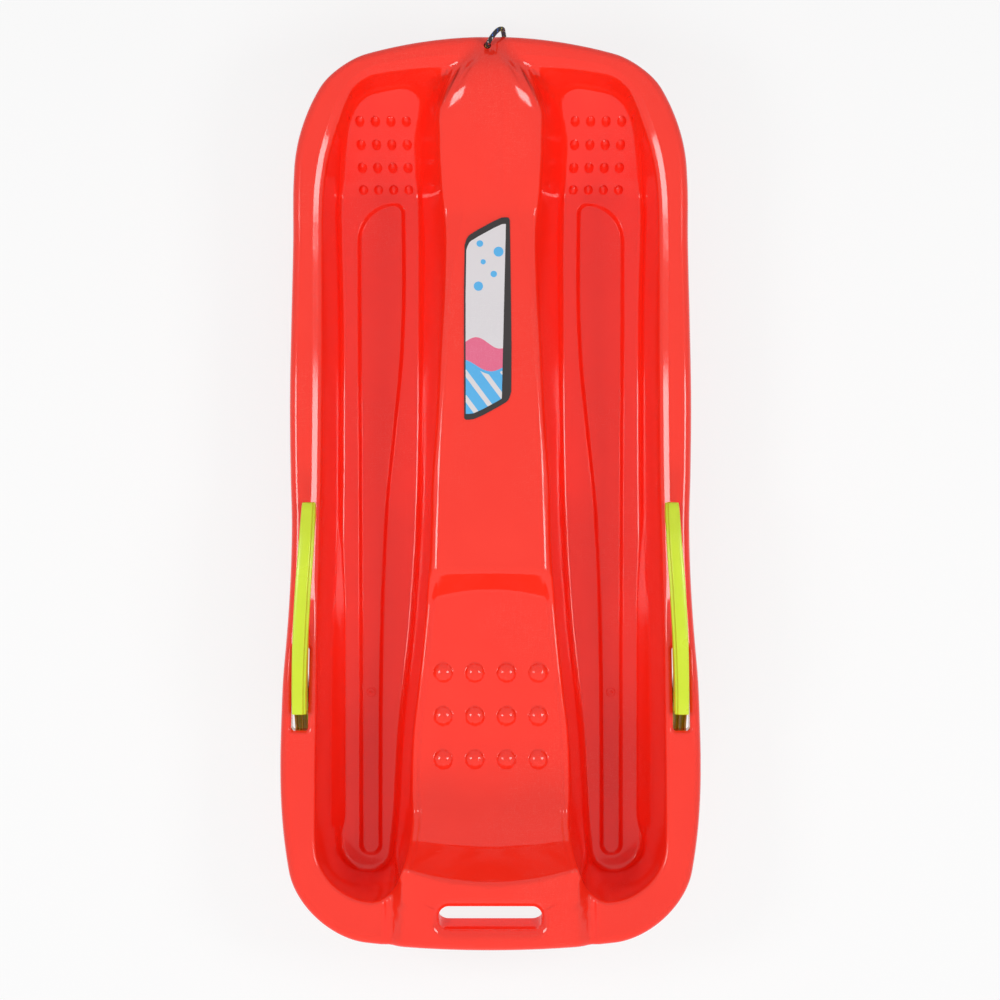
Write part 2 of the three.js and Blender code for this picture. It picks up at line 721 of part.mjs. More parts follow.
// Splits long edges where the wanted edge length is short
function refined(plan, wanted) {
  let mesh = plan;
  for (let round = 0; round < 6; round += 1) {
    const next = new FlatMesh();
    mesh.points.forEach((point) => next.add(point));
    const middles = new Map();
    const middleOf = (a, b) => {
      const key = a < b ? `${a},${b}` : `${b},${a}`;
      if (!middles.has(key)) {
        const [p, q] = [mesh.points[a], mesh.points[b]];
        const middle = [(p[0] + q[0]) / 2, (p[1] + q[1]) / 2];
        const half = Math.hypot(p[0] - q[0], p[1] - q[1]) / 2;
        middles.set(key, 2 * half > wanted(...middle, half) ? next.add(middle) : null);
      }
      return middles.get(key);
    };
    for (const [a, b, c] of mesh.triangles) {
      const [ab, bc, ca] = [middleOf(a, b), middleOf(b, c), middleOf(c, a)];
      const cut = [ab, bc, ca].filter((middle) => middle !== null).length;
      if (cut === 0) next.triangle(a, b, c);
      else if (cut === 3) {
        [[a, ab, ca], [ab, b, bc], [ca, bc, c], [ab, bc, ca]].forEach((t) => next.triangle(...t));
      } else {
        const turns = [[a, b, c, ab, bc, ca], [b, c, a, bc, ca, ab], [c, a, b, ca, ab, bc]];
        const [p, q, r, pq, qr] = turns.find((t) => t[3] !== null && (cut === 1 || t[4] !== null));
        if (cut === 1) [[p, pq, r], [pq, q, r]].forEach((t) => next.triangle(...t));
        else [[pq, q, qr], [p, pq, qr], [p, qr, r]].forEach((t) => next.triangle(...t));
      }
    }
    if (next.triangles.length === mesh.triangles.length) return mesh;
    mesh = next;
  }
  return mesh;
}

// Keeps what lies outside an opening, with new points on the opening's edge
function opened(plan, outside) {
  const snap = wall / 15;
  const next = new FlatMesh();
  const value = plan.points.map(([x, y]) => {
    const far = outside(x, y);
    return Math.abs(far) < snap ? 0 : far;
  });
  const crossing = (a, b) => {
    let [low, high] = value[a] > 0 ? [plan.points[a], plan.points[b]] : [plan.points[b], plan.points[a]];
    for (let i = 0; i < 30; i += 1) {
      const middle = [(low[0] + high[0]) / 2, (low[1] + high[1]) / 2];
      if (outside(...middle) > 0) low = middle;
      else high = middle;
    }
    return low;
  };
  for (const corners of plan.triangles) {
    const kept = [];
    corners.forEach((a, i) => {
      const b = corners[(i + 1) % 3];
      if (value[a] >= 0) kept.push(plan.points[a]);
      if (value[a] * value[b] < 0) kept.push(a < b ? crossing(a, b) : crossing(b, a));
    });
    if (kept.length < 3 || !corners.some((a) => value[a] > 0)) continue;
    const placed = kept.map((point) => next.add(point));
    for (let i = 1; i + 1 < placed.length; i += 1) next.triangle(placed[0], placed[i], placed[i + 1]);
  }
  return next;
}

// Closes an upper and a lower face over one flat mesh into a solid
function sheetGeometry(plan, upper, lower) {
  const count = plan.points.length;
  const positions = new Float32Array(count * 6);
  plan.points.forEach(([x, y], i) => {
    positions.set([x, y, upper(x, y)], 3 * i);
    positions.set([x, y, lower(x, y)], 3 * (count + i));
  });
  const index = [];
  const edges = new Set();
  for (const [a, b, c] of plan.triangles) {
    index.push(a, b, c, count + a, count + c, count + b);
    edges.add(`${a},${b}`).add(`${b},${c}`).add(`${c},${a}`);
  }
  for (const edge of edges) {
    const [a, b] = edge.split(',').map(Number);
    if (!edges.has(`${b},${a}`)) index.push(count + a, count + b, b, count + a, b, a);
  }
  const geometry = new THREE.BufferGeometry();
  geometry.setAttribute('position', new THREE.BufferAttribute(positions, 3));
  geometry.setIndex(index);
  return geometry;
}

// Solids for cutting and joining
function solidOf(geometry) {
  const bare = geometry.clone();
  bare.deleteAttribute('normal');
  bare.deleteAttribute('uv');
  const merged = BufferGeometryUtils.mergeVertices(bare, 1e-4);
  return new wasm.Manifold(new wasm.Mesh({
    numProp: 3,
    vertProperties: new Float32Array(merged.attributes.position.array),
    triVerts: new Uint32Array(merged.index.array),
  }));
}

function geometryOf(solid) {
  const mesh = solid.getMesh();
  const geometry = new THREE.BufferGeometry();
  geometry.setAttribute('position', new THREE.BufferAttribute(new Float32Array(mesh.vertProperties), 3));
  geometry.setIndex([...mesh.triVerts]);
  return geometry;
}

// An outline of [y, z] points, pushed out along X
const alongX = new THREE.Matrix4().set(0, 0, 1, 0, 1, 0, 0, 0, 0, 1, 0, 0, 0, 0, 0, 1);

function prismSolid(outline, from, to) {
  const shape = new THREE.Shape(outline.map((point) => new THREE.Vector2(...point)));
  const geometry = new THREE.ExtrudeGeometry(shape, { depth: to - from, bevelEnabled: false });
  geometry.translate(0, 0, from);
  geometry.applyMatrix4(alongX);
  return solidOf(geometry);
}

// A solid turned about an axis along X, from points of [distance along X, radius]
function turnedAlongX(profile, sides, centre) {
  const points = profile.map(([along, radius]) => new THREE.Vector2(radius, along));
  const geometry = new THREE.LatheGeometry(points, sides);
  geometry.rotateZ(-Math.PI / 2);
  geometry.translate(...centre);
  return solidOf(geometry);
}

// A low dome whose base is sunk into the face that carries it
function domeSolid(x, y, radius, height, sides) {
  const sink = wall / 2;
  const profile = [[0, -sink], [radius, -sink], [radius * 0.66, height * 0.78], [0, height]];
  const geometry = new THREE.LatheGeometry(profile.map((p) => new THREE.Vector2(...p)), sides);
  geometry.rotateX(Math.PI / 2);
  const reach = radius / 2;
  const tiltX = Math.atan2(hullTop(x, y + reach) - hullTop(x, y - reach), 2 * reach);
  geometry.rotateX(tiltX);
  geometry.translate(x, y, hullTop(x, y));
  return solidOf(geometry);
}

// A ring that hangs down round an opening
function collarSolid(opening, bottom, top, place) {
  const roundedBox = (grow) => {
    const round = opening.round + grow;
    const half = [opening.halfX + grow - round, opening.halfY + grow - round];
    const shape = new THREE.Shape();
    [[1, 1], [-1, 1], [-1, -1], [1, -1]].forEach(([signX, signY], i) => {
      const start = (i * Math.PI) / 2;
      shape.absarc(signX * half[0], signY * half[1], round, start, start + Math.PI / 2);
    });
    return new THREE.Shape(shape.getPoints(2).slice(0, -1));
  };
  const ring = roundedBox(opening.thickness);
  ring.holes.push(roundedBox(0));
  const geometry = new THREE.ExtrudeGeometry(ring, { depth: top - bottom, bevelEnabled: false });
  const points = geometry.attributes.position;
  for (let i = 0; i < points.count; i += 1) {
    const up = points.getZ(i) / (top - bottom);
    const [x, y] = place(points.getX(i), points.getY(i), up);
    points.setXYZ(i, x, y, bottom + points.getZ(i));
  }
  return solidOf(geometry);
}

function hullGeometry() {
  const slotEdge = (x, y) => outsideBrakeSlot(Math.abs(x), y);
  const gripEdge = (x, y) => outsideGripSlot(Math.abs(x), y);
  const slotMiddle = (slotFront + slotRear) / 2;
  const gripMiddle = (gripSlotFront + gripSlotRear) / 2;
  const slotCorner = (x, y) => Math.hypot(
    Math.abs(Math.abs(x) - slotCentre) - slotHalfWidth,
    Math.abs(y - slotMiddle) - (slotFront - slotMiddle),
  );
  const gripEnd = (x, y) => Math.hypot(Math.abs(x) - gripSlotHalf + gripSlotRound, y - gripMiddle);
  const nearSize = (far, reach, size) => (far < reach ? size : length);
  let plan = refined(hullPlan(), (x, y, half) => Math.min(
    nearSize(slotEdge(x, y), half * 0.4, slotHalfWidth * 2.4),
    nearSize(slotCorner(x, y), slotHalfWidth * 0.8, slotRound * 2),
    nearSize(gripEdge(x, y), half * 0.3, gripSlotRound * 3),
    nearSize(gripEnd(x, y), gripSlotRound * 1.4, gripSlotRound),
    nearSize(outsideRopeHole(x, y), ropeHoleRadius, ropeHoleRadius),
  ));
  plan = opened(plan, slotEdge);
  plan = opened(plan, gripEdge);
  plan = opened(plan, outsideRopeHole);
  let hull = solidOf(sheetGeometry(plan, hullTop, hullUnder));
  const gripOpening = {
    halfX: gripSlotHalf, halfY: gripSlotOpening / 2, round: gripSlotRound, thickness: wall,
  };
  const gripCollarTop = platformHeight - platformFall - gripDishDepth - wall / 4;
  hull = hull.add(collarSolid(gripOpening, gripCollarTop - gripCollarDepth, gripCollarTop, (x, y, up) => (
    [x, gripMiddle + y + (1 - up) * gripCollarLean * (0.5 - y / gripSlotOpening)]
  )));
  const slotOpening = {
    halfX: slotHalfWidth, halfY: (slotFront - slotRear) / 2, round: slotRound, thickness: lugThickness,
  };
  const lugTop = rimHeight - (wall + slotLipDrop) / 2;
  for (const side of [1, -1]) {
    hull = hull.add(collarSolid(slotOpening, pinZ - lugDrop, lugTop, (x, y) => (
      [side * (slotCentre + slotLean * (pinY - slotMiddle - y)) + x, slotMiddle + y]
    )));
    const boreHalf = slotHalfWidth + 1.5 * lugThickness;
    const boreRadius = pinRadius + pinClearance;
    const bore = [[-boreHalf, 0], [-boreHalf, boreRadius], [boreHalf, boreRadius], [boreHalf, 0]];
    hull = hull.subtract(turnedAlongX(bore, pinSides, [side * slotCentre, pinY, pinZ]));
    for (let row = 0; row < footBumpRows; row += 1) {
      for (let column = 0; column < footBumpColumns; column += 1) {
        const x = side * (footBumpInner + column * footBumpPitchX);
        const y = footPlaneStart + footBumpToPlane - row * footBumpPitchY;
        hull = hull.add(domeSolid(x, y, footBumpRadius, footBumpHeight, 6));
      }
    }
  }
  for (let row = 0; row < seatBumpRows; row += 1) {
    for (let column = 0; column < seatBumpColumns; column += 1) {
      const x = (column - (seatBumpColumns - 1) / 2) * seatBumpPitchX;
      const y = seatStepFoot - seatBumpToStep - row * seatBumpPitchY;
      hull = hull.add(domeSolid(x, y, seatBumpRadius, seatBumpHeight, 9));
    }
  }
  return geometryOf(hull);
}

// Brake pin with a head outside each lug
function pinGeometry(side) {
  const shank = slotHalfWidth + lugThickness + restGap;
  const end = shank + pinHeadThickness;
  const profile = [
    [-end, 0], [-end, pinHeadRadius], [-shank, pinHeadRadius], [-shank, pinRadius],
    [shank, pinRadius], [shank, pinHeadRadius], [end, pinHeadRadius], [end, 0],
  ];
  return geometryOf(turnedAlongX(profile, pinSides, [side * slotCentre, pinY, pinZ]));
}

const leverTopOf = through(leverTopShares, leverReach, leverRise);
const leverUnderOf = through(leverUnderShares, leverReach, leverRise);
const leverWidthOf = through(leverWidthShares, leverReach, leverHalfWidth);
const leverBendOf = through(leverBendShares, leverReach, leverBend);

function leverCentre(y) {
  return slotCentre - leverBendOf(y - pinY).value;
}

// One cross-section of the lever's bar, seen from the rear, turning anticlockwise
function barSection(share) {
  const y = pinY + share * leverReach;
  const top = pinZ + leverTopOf(share * leverReach).value;
  const rest = y > slotFront ? rimHeight + restGap : 0;
  const under = Math.max(pinZ + leverUnderOf(share * leverReach).value, rest);
  const half = leverWidthOf(share * leverReach).value;
  const round = Math.min((top - under) * 0.16, leverHalfWidth * 0.3);
  const middle = (top + under) / 2;
  const rightSide = [
    [half * 0.72, under], [half * 0.88, under + round], [half, middle], [half, top - round],
    [half * 0.88, top],
  ];
  const section = [...rightSide, ...rightSide.map(([x, z]) => [-x, z]).reverse()];
  return section.map(([x, z]) => [leverCentre(y) + x, y, z]);
}

function barSolid() {
  const sections = leverStations.map(barSection);
  const count = sections[0].length;
  const index = [];
  for (let i = 0; i + 1 < sections.length; i += 1) {
    for (let k = 0; k < count; k += 1) {
      const [a, b] = [i * count + k, i * count + (k + 1) % count];
      index.push(a, b + count, b, a, a + count, b + count);
    }
  }
  const end = (sections.length - 1) * count;
  for (let k = 1; k + 1 < count; k += 1) {
    index.push(0, k, k + 1);
    index.push(end, end + k + 1, end + k);
  }
  const geometry = new THREE.BufferGeometry();
  geometry.setAttribute('position', new THREE.BufferAttribute(new Float32Array(sections.flat(2)), 3));
  geometry.setIndex(index);
  return solidOf(geometry);
}

// Lever: grip bar, hub on the pin and the digging blade, which is a channel open at its rear
function leverGeometry(side) {
  const fall = THREE.MathUtils.degToRad(bladeFall);
  const bladePoint = ([along, square]) => [
    pinY - along * Math.cos(fall) - square * Math.sin(fall),
    pinZ - along * Math.sin(fall) + square * Math.cos(fall),
  ];
  const blade = [
    [0, bladeUnder], [bladeReach - bladeTipChamfer, bladeUnder], [bladeReach, bladeUnder + bladeTipChamfer],
    [bladeReach, bladeTipTop], [0, bladeRootTop],
  ].map(bladePoint);
  const pocket = [
    [bladePocketStart, bladeUnder + bladeWall], [bladeReach - 2 * bladeWall, bladeUnder + bladeWall],
    [bladeReach - 2 * bladeWall, 2 * bladeRootTop], [bladePocketStart, 2 * bladeRootTop],
  ].map(bladePoint);
  const web = [
    [pinY + webRear, pinZ + hubRadius], [pinY + webRear / 2, pinZ - hubRadius * 0.8],
    [pinY + hubRadius * 0.6, pinZ - hubRadius * 0.8], [pinY + webFront, pinZ + hubRadius],
    [pinY + webFront, pinZ + hubRadius + bladeWall], [pinY + webRear, pinZ + hubRadius + bladeWall],
  ];
  const hub = [[-webHalf, 0], [-webHalf, hubRadius], [webHalf, hubRadius], [webHalf, 0]];
  const bore = [
    [-2 * webHalf, 0], [-2 * webHalf, pinRadius + pinClearance],
    [2 * webHalf, pinRadius + pinClearance], [2 * webHalf, 0],
  ];
  const pocketHalf = webHalf - bladeWall;
  let lever = prismSolid(blade, slotCentre - webHalf, slotCentre + webHalf);
  lever = lever.subtract(prismSolid(pocket, slotCentre - pocketHalf, slotCentre + pocketHalf));
  lever = lever.add(barSolid());
  lever = lever.add(prismSolid(web, slotCentre - webHalf, slotCentre + webHalf));
  lever = lever.add(turnedAlongX(hub, hubSides, [slotCentre, pinY, pinZ]));
  lever = lever.subtract(turnedAlongX(bore, pinSides, [slotCentre, pinY, pinZ]));
  return geometryOf(side > 0 ? lever : lever.mirror([1, 0, 0]));
}

function labelGeometry() {
  const shape = new THREE.Shape(labelShares.map(([across, along]) => (
    new THREE.Vector2(labelLeft + across * labelWidth, labelFront + (along - 1) * labelLength)
  )));
  const geometry = new THREE.ExtrudeGeometry(shape, { depth: labelThickness, bevelEnabled: false });
  geometry.translate(0, 0, spineHeight + restGap);
  return geometry;
}

// Rope
function circleShape(radius, sides) {
  const turn = (i) => (2 * Math.PI * i) / sides;
  const points = Array.from({ length: sides }, (_, i) => (
    new THREE.Vector2(radius * Math.cos(turn(i)), radius * Math.sin(turn(i)))
  ));
  return new THREE.Shape(points);
}

function tubeGeometry(path, sides, steps) {
  return new THREE.ExtrudeGeometry(circleShape(ropeRadius, sides), { steps, extrudePath: path });
}

// The coil winds inwards on the snow, climbs a layer in half a turn and winds out again on top
class WoundPath extends THREE.Curve {
  constructor() {
    super();
    this.steps = Math.round(coilTurns * coilStepsPerTurn) + 2 * coilStraightSteps;
  }

  wound(turned) {
    const low = coilUnder + ropeRadius;
    const past = turned - coilTurns / 2;
    const climb = Math.min(Math.max(past / coilClimbTurns + 0.5, 0), 1);
    const outward = 2 * softRamp(past, coilReverseBlend) - past;
    const radius = coilRadius + coilPitch * (outward - coilTurns / 2);
    const angle = -2 * Math.PI * turned;
    const lift = coilPitch * climb * climb * (3 - 2 * climb);
    return new THREE.Vector3(coilX + radius * Math.cos(angle), coilY + radius * Math.sin(angle), low + lift);
  }

  getPoint(t) {
    const step = t * this.steps;
    const woundSteps = this.steps - 2 * coilStraightSteps;
    const before = Math.max(coilStraightSteps - step, 0) / coilStraightSteps;
    const after = Math.max(step - coilStraightSteps - woundSteps, 0) / coilStraightSteps;
    const share = Math.min(Math.max((step - coilStraightSteps) / woundSteps, 0), 1);
    const point = this.wound(share * coilTurns);
    point.y += before * coilLeadLength;
    const angle = -2 * Math.PI * coilTurns;
    point.x += after * coilTailLength * Math.sin(angle);
    point.y -= after * coilTailLength * Math.cos(angle);
    const drop = coilUnder + ropeRadius + coilPitch - knotRadius - restGap;
    point.z -= drop * smoothStep(coilTailDropStart, coilTailDropEnd, after);
    return point;
  }

  getUtoTmapping(u) {
    return u;
  }
}

// Least clear space between two parts of the coil that aren't neighbours along it
function leastGap(path) {
  const samples = path.steps * 4;
  const points = Array.from({ length: samples + 1 }, (_, i) => path.getPoint(i / samples));
  let along = 0;
  const travelled = points.map((point, i) => {
    along += i > 0 ? point.distanceTo(points[i - 1]) : 0;
    return along;
  });
  let least = length;
  points.forEach((point, i) => {
    for (let j = i + 1; j < points.length; j += 1) {
      if (travelled[j] - travelled[i] < 4 * coilPitch) continue;
      least = Math.min(least, point.distanceTo(points[j]) - 2 * ropeRadius);
    }
  });
  return { least, total: along };
}

function knotGeometry(centre, direction) {
  const half = knotLength / 2;
  const profile = [
    [0, -half], [knotRadius * knotEndShare, -half], [knotRadius * 0.9, -half * 0.7],
    [knotRadius, -half * 0.3], [knotRadius, half * 0.3],
    [knotRadius * 0.9, half * 0.7], [knotRadius * knotEndShare, half], [0, half],
  ];
  const geometry = new THREE.LatheGeometry(profile.map((point) => new THREE.Vector2(...point)), knotSides);
  const turn = new THREE.Quaternion().setFromUnitVectors(new THREE.Vector3(0, 1, 0), direction);
  geometry.applyQuaternion(turn);
  geometry.translate(centre.x, centre.y, centre.z);
  return geometry;
}

// Band round all loops of the coil at one place
function tieGeometry(path) {
  const angle = THREE.MathUtils.degToRad(tieAngle);
  const outward = new THREE.Vector3(Math.cos(angle), Math.sin(angle), 0);
  const sideways = new THREE.Vector3(Math.sin(angle), -Math.cos(angle), 0);
  const reach = [];
  for (let i = 0; i <= path.steps * 4; i += 1) {
    const point = path.getPoint(i / (path.steps * 4)).sub(new THREE.Vector3(coilX, coilY, 0));
    const near = Math.abs(point.dot(sideways)) < tieWidth && point.dot(outward) > 0;
    if (near) reach.push(point.dot(outward));
  }
  const room = ropeRadius + tieClearance;
  const halfX = (Math.max(...reach) - Math.min(...reach)) / 2 + room;
  const halfZ = coilPitch / 2 + room;
  const middle = (Math.max(...reach) + Math.min(...reach)) / 2;
  const roundedBox = (x, z, round) => {
    const shape = new THREE.Shape();
    const corner = (signX, signZ, start) => {
      shape.absarc(signX * (x - round), signZ * (z - round), round, start, start + Math.PI / 2);
    };
    corner(1, 1, 0);
    corner(-1, 1, Math.PI / 2);
    corner(-1, -1, Math.PI);
    corner(1, -1, Math.PI * 1.5);
    return new THREE.Shape(shape.getPoints(4).slice(0, -1));
  };
  const band = roundedBox(halfX + tieThickness, halfZ + tieThickness, tieRound + tieThickness);
  band.holes.push(roundedBox(halfX, halfZ, tieRound));
  const geometry = new THREE.ExtrudeGeometry(band, { depth: tieWidth, bevelEnabled: false });
  geometry.translate(0, 0, -tieWidth / 2);
  const place = new THREE.Matrix4().makeBasis(outward, new THREE.Vector3(0, 0, 1), sideways);
  const low = coilUnder + ropeRadius + coilPitch / 2;
  place.setPosition(coilX + outward.x * middle, coilY + outward.y * middle, low);
  geometry.applyMatrix4(place);
  return geometry;
}

const coilPath = new WoundPath();
const coilStart = coilPath.getPoint(0);
const coilEnd = coilPath.getPoint(1);
const coilHeading = coilEnd.clone().sub(coilPath.getPoint(1 - 1 / coilPath.steps)).normalize();
const endKnotCentre = coilEnd.clone().addScaledVector(coilHeading, knotLength / 2 + restGap);

// The stopper knot sits under the rim, below the lowest point round its own top
const knotTopRadius = knotRadius * 0.9;
const knotRing = Array.from({ length: 24 }, (_, i) => (2 * Math.PI * i) / 24);
const knotCeiling = Math.min(...knotRing.map((turn) => (
  hullUnder(ropeHoleX + knotTopRadius * Math.cos(turn), ropeHoleY + knotTopRadius * Math.sin(turn))
)));
const knotTop = knotCeiling - restGap;
const rimAtHole = hullTop(ropeHoleX, ropeHoleY);

// Free stretch: up through the hole, over the rim, down to the snow and back to the coil
const ropeLine = [
  [ropeHoleX, ropeHoleY, knotTop + restGap],
  [ropeHoleX, ropeHoleY, (knotTop + rimAtHole) / 2 + ropeRadius],
  [ropeHoleX, ropeHoleY, rimAtHole + ropeRadius * 1.5],
  [ropeHoleX + archReachX * 0.35, ropeHoleY + ropeRadius, rimAtHole + archRise * 0.9],
  [ropeHoleX + archReachX, ropeHoleY + ropeRadius * 3.2, rimAtHole + archRise * 1.22],
  [ropeHoleX + archReachX * 1.75, hangY - ropeRadius, rimAtHole + archRise * 0.9],
  [hangX - ropeRadius, hangY + ropeRadius * 0.2, rimAtHole + archRise * 0.2],
  [hangX - ropeRadius * 0.4, hangY + ropeRadius * 0.4, rimHeight + ropeRadius * 6],
  [hangX, hangY + ropeRadius * 0.2, rimHeight - ropeRadius * 3],
  [hangX, hangY, rimHeight / 2],
  [hangX, hangY - ropeRadius * 0.6, coilStart.z + ropeRadius * 9],
  [coilStart.x, hangY - ropeRadius * 3, coilStart.z + ropeRadius * 2.6],
  [coilStart.x, hangY - ropeRadius * 8, coilStart.z + ropeRadius * 0.3],
  [coilStart.x, hangY - ropeRadius * 13, coilStart.z],
  [coilStart.x, (hangY + coilStart.y) / 2 - ropeRadius * 6, coilStart.z],
  [coilStart.x, coilStart.y + ropeRadius * 2, coilStart.z],
  [coilStart.x, coilStart.y + restGap, coilStart.z],
].map((point) => new THREE.Vector3(...point));
const ropePath = new THREE.CatmullRomCurve3(ropeLine, false, 'centripetal');
const ropeSteps = Math.round(ropePath.getLength() / ropeStep);

const coilSize = leastGap(coilPath);
const ropeLength = ropePath.getLength() + coilSize.total + 2 * knotLength;
console.log(`coil: least gap ${coilSize.least.toFixed(2)} mm, length ${coilSize.total.toFixed(0)} mm`);
console.log(`rope: free ${ropePath.getLength().toFixed(0)} mm, in all ${ropeLength.toFixed(0)} mm`);

// Materials
const red = new THREE.MeshStandardMaterial({ color: 0xff2a1e, roughness: 0.3, metalness: 0 });
const lime = new THREE.MeshStandardMaterial({ color: 0xd0e028, roughness: 0.35, metalness: 0 });
const steel = new THREE.MeshStandardMaterial({ color: 0xb9bcc0, roughness: 0.3, metalness: 1 });
const film = new THREE.MeshStandardMaterial({ color: 0xebe8e8, roughness: 0.4, metalness: 0 });
const cord = new THREE.MeshStandardMaterial({ color: 0x26262a, roughness: 0.8, metalness: 0 });
const tape = new THREE.MeshStandardMaterial({ color: 0x1c1c1e, roughness: 0.5, metalness: 0 });

const sled = new THREE.Group();

function addPiece(name, geometry, material) {
  const mesh = new THREE.Mesh(geometry, material);
  mesh.name = name;
  sled.add(mesh);
}

addPiece('hull', hullGeometry(), red);
addPiece('brake_lever_left', leverGeometry(-1), lime);
addPiece('brake_lever_right', leverGeometry(1), lime);
addPiece('brake_pin_left', pinGeometry(-1), steel);
addPiece('brake_pin_right', pinGeometry(1), steel);
addPiece('label', labelGeometry(), film);
addPiece('tow_rope', tubeGeometry(ropePath, ropeSides, ropeSteps), cord);
const knotCentre = new THREE.Vector3(ropeHoleX, ropeHoleY, knotTop - knotLength / 2);
addPiece('tow_rope_knot', knotGeometry(knotCentre, new THREE.Vector3(0, 0, 1)), cord);
addPiece('tow_rope_coil', tubeGeometry(coilPath, coilSides, coilPath.steps), cord);
addPiece('tow_rope_end_knot', knotGeometry(endKnotCentre, coilHeading), cord);
addPiece('coil_tie', tieGeometry(coilPath), tape);

export default sled;
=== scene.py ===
"""A plastic bob sled with two side brakes and a tow rope, dressed for rendering.

Measures are in millimetres and become metres where a mesh is made. They are those of the part's source,
except for RUNNER_EDGE, GRIP_COLLAR_LEAN, SEAT_BUMP_HEIGHT and FOOT_BUMP_HEIGHT, which are larger here. The
gate marks and the step along the inner side of each brake grip are only here.
"""
import math

import bpy
import numpy as np
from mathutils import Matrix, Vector


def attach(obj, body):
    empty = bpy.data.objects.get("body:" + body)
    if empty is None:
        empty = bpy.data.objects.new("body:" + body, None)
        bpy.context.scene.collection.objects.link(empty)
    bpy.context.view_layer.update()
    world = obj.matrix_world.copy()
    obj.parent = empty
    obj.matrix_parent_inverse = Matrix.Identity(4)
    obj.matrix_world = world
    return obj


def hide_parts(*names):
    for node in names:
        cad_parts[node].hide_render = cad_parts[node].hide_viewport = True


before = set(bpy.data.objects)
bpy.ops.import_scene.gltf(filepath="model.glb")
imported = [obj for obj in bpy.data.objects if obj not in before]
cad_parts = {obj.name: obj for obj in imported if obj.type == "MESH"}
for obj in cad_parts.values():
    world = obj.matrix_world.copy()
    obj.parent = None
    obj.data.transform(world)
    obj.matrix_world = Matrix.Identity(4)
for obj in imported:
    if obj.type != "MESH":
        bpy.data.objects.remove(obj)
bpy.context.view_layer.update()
scene = bpy.context.scene

# Hull
LENGTH = 890.0
WIDTH = 415.0
HALF_LENGTH = LENGTH / 2
HALF_WIDTH = WIDTH / 2
WALL = 3.0
RIM_HEIGHT = 117.0
NOSE_RISE = 31.0
TAIL_RISE = 20.0
SPINE_HEIGHT = 102.0
SEAT_HEIGHT = 80.0
PLATFORM_HEIGHT = 142.0
FOOT_PLANE_SLOPE = 0.97
RUNNER_DEPTH = 4.0
FLOOR_HEIGHT = WALL + RUNNER_DEPTH
RIM_ROUND = 9.0
RIM_ROUND_DROP = 8.0
RIM_ROUND_SPREAD = 8.6
LIP_START = 0.6
UNDER_STEPS = 14
FRONT_BOW = 460.0
REAR_BOW = 1120.0
FRONT_CORNER = 18.0
REAR_CORNER = 58.0
BEVEL_WIDTH = 7.0
BEVEL_DROP = 3.5
BEVEL_EDGE = 0.8
BEVEL_FULL = HALF_LENGTH * -0.18
BEVEL_END = HALF_LENGTH * -0.33
TOP_FILLET = 4.0
FOOT_FILLET = 6.0
RIM_FRONT_START = HALF_LENGTH / 3
RIM_FRONT_RUN = HALF_LENGTH * 2 / 3
RIM_REAR_START = HALF_LENGTH * 0.45
RIM_REAR_RUN = HALF_LENGTH * 0.55

# Half width of the hull: share of the half length, share of the half width
SIDE_SHARES = [
    [-1, 0.866], [-0.935, 0.905], [-0.852, 0.947], [-0.764, 0.979], [-0.676, 0.996], [-0.589, 1],
    [-0.5, 0.996], [-0.411, 0.988], [-0.324, 0.972], [-0.235, 0.958], [-0.146, 0.949], [-0.058, 0.946],
    [0.031, 0.951], [0.209, 0.955], [0.387, 0.948], [0.562, 0.938], [0.695, 0.933], [0.737, 0.926],
    [0.781, 0.908], [0.824, 0.878], [0.866, 0.837], [0.908, 0.782], [0.951, 0.713], [1, 0.629],
]
RIM_BAND = 34.0
RIM_BAND_SHARES = [
    [-0.9, 0.817], [-0.852, 0.855], [-0.82, 0.874], [-0.77, 0.905], [-0.676, 1.001], [-0.589, 1.027],
    [-0.5, 1.017], [-0.454, 1.005], [-0.411, 0.984], [-0.324, 0.905], [-0.235, 0.842], [-0.146, 0.816],
    [-0.058, 0.829], [-0.012, 0.856], [0.031, 0.883], [0.153, 0.927], [0.209, 0.934], [0.387, 0.901],
    [0.43, 0.889], [0.54, 0.855], [0.62, 0.861], [0.68, 0.895], [0.737, 0.963], [0.781, 1.015],
    [0.82, 1.039], [0.866, 1.017], [0.908, 0.951], [0.95, 0.852],
]
OUTER_FOOT_SHARES = [
    [-0.9, 0.745], [-0.77, 0.761], [-0.45, 0.764], [-0.235, 0.757], [-0.012, 0.749], [0.162, 0.747],
    [0.454, 0.749], [0.6, 0.757], [0.668, 0.76], [0.72, 0.752], [0.791, 0.73], [0.858, 0.69], [0.91, 0.616],
]
INNER_TOP_SHARES = [
    [-0.9, 0.44], [-0.838, 0.425], [-0.8, 0.395], [-0.759, 0.378], [-0.662, 0.379], [-0.532, 0.37],
    [-0.437, 0.347], [-0.243, 0.306], [-0.146, 0.289], [0.032, 0.279], [0.155, 0.26], [0.346, 0.237],
    [0.473, 0.222], [0.599, 0.217], [0.685, 0.235], [0.781, 0.244], [0.863, 0.231], [0.92, 0.16],
    [0.96, 0.1],
]
INNER_FOOT_SHARES = [
    [-0.9, 0.5], [-0.862, 0.494], [-0.769, 0.479], [-0.536, 0.449], [-0.303, 0.394], [-0.07, 0.362],
    [0.162, 0.351], [0.453, 0.351], [0.628, 0.351], [0.75, 0.357], [0.818, 0.359], [0.885, 0.323],
    [0.928, 0.289],
]
TROUGH_REAR = 46.5 - HALF_LENGTH
TROUGH_REAR_FOOT = TROUGH_REAR + 9.8
TROUGH_FRONT = HALF_LENGTH - 26.8
TROUGH_FRONT_BOW = 650.0
TROUGH_FRONT_FOOT = TROUGH_FRONT - 4.0
FOOT_PLANE_START = TROUGH_FRONT_FOOT - 98.2
FOOT_PLANE_BLEND = 10.0

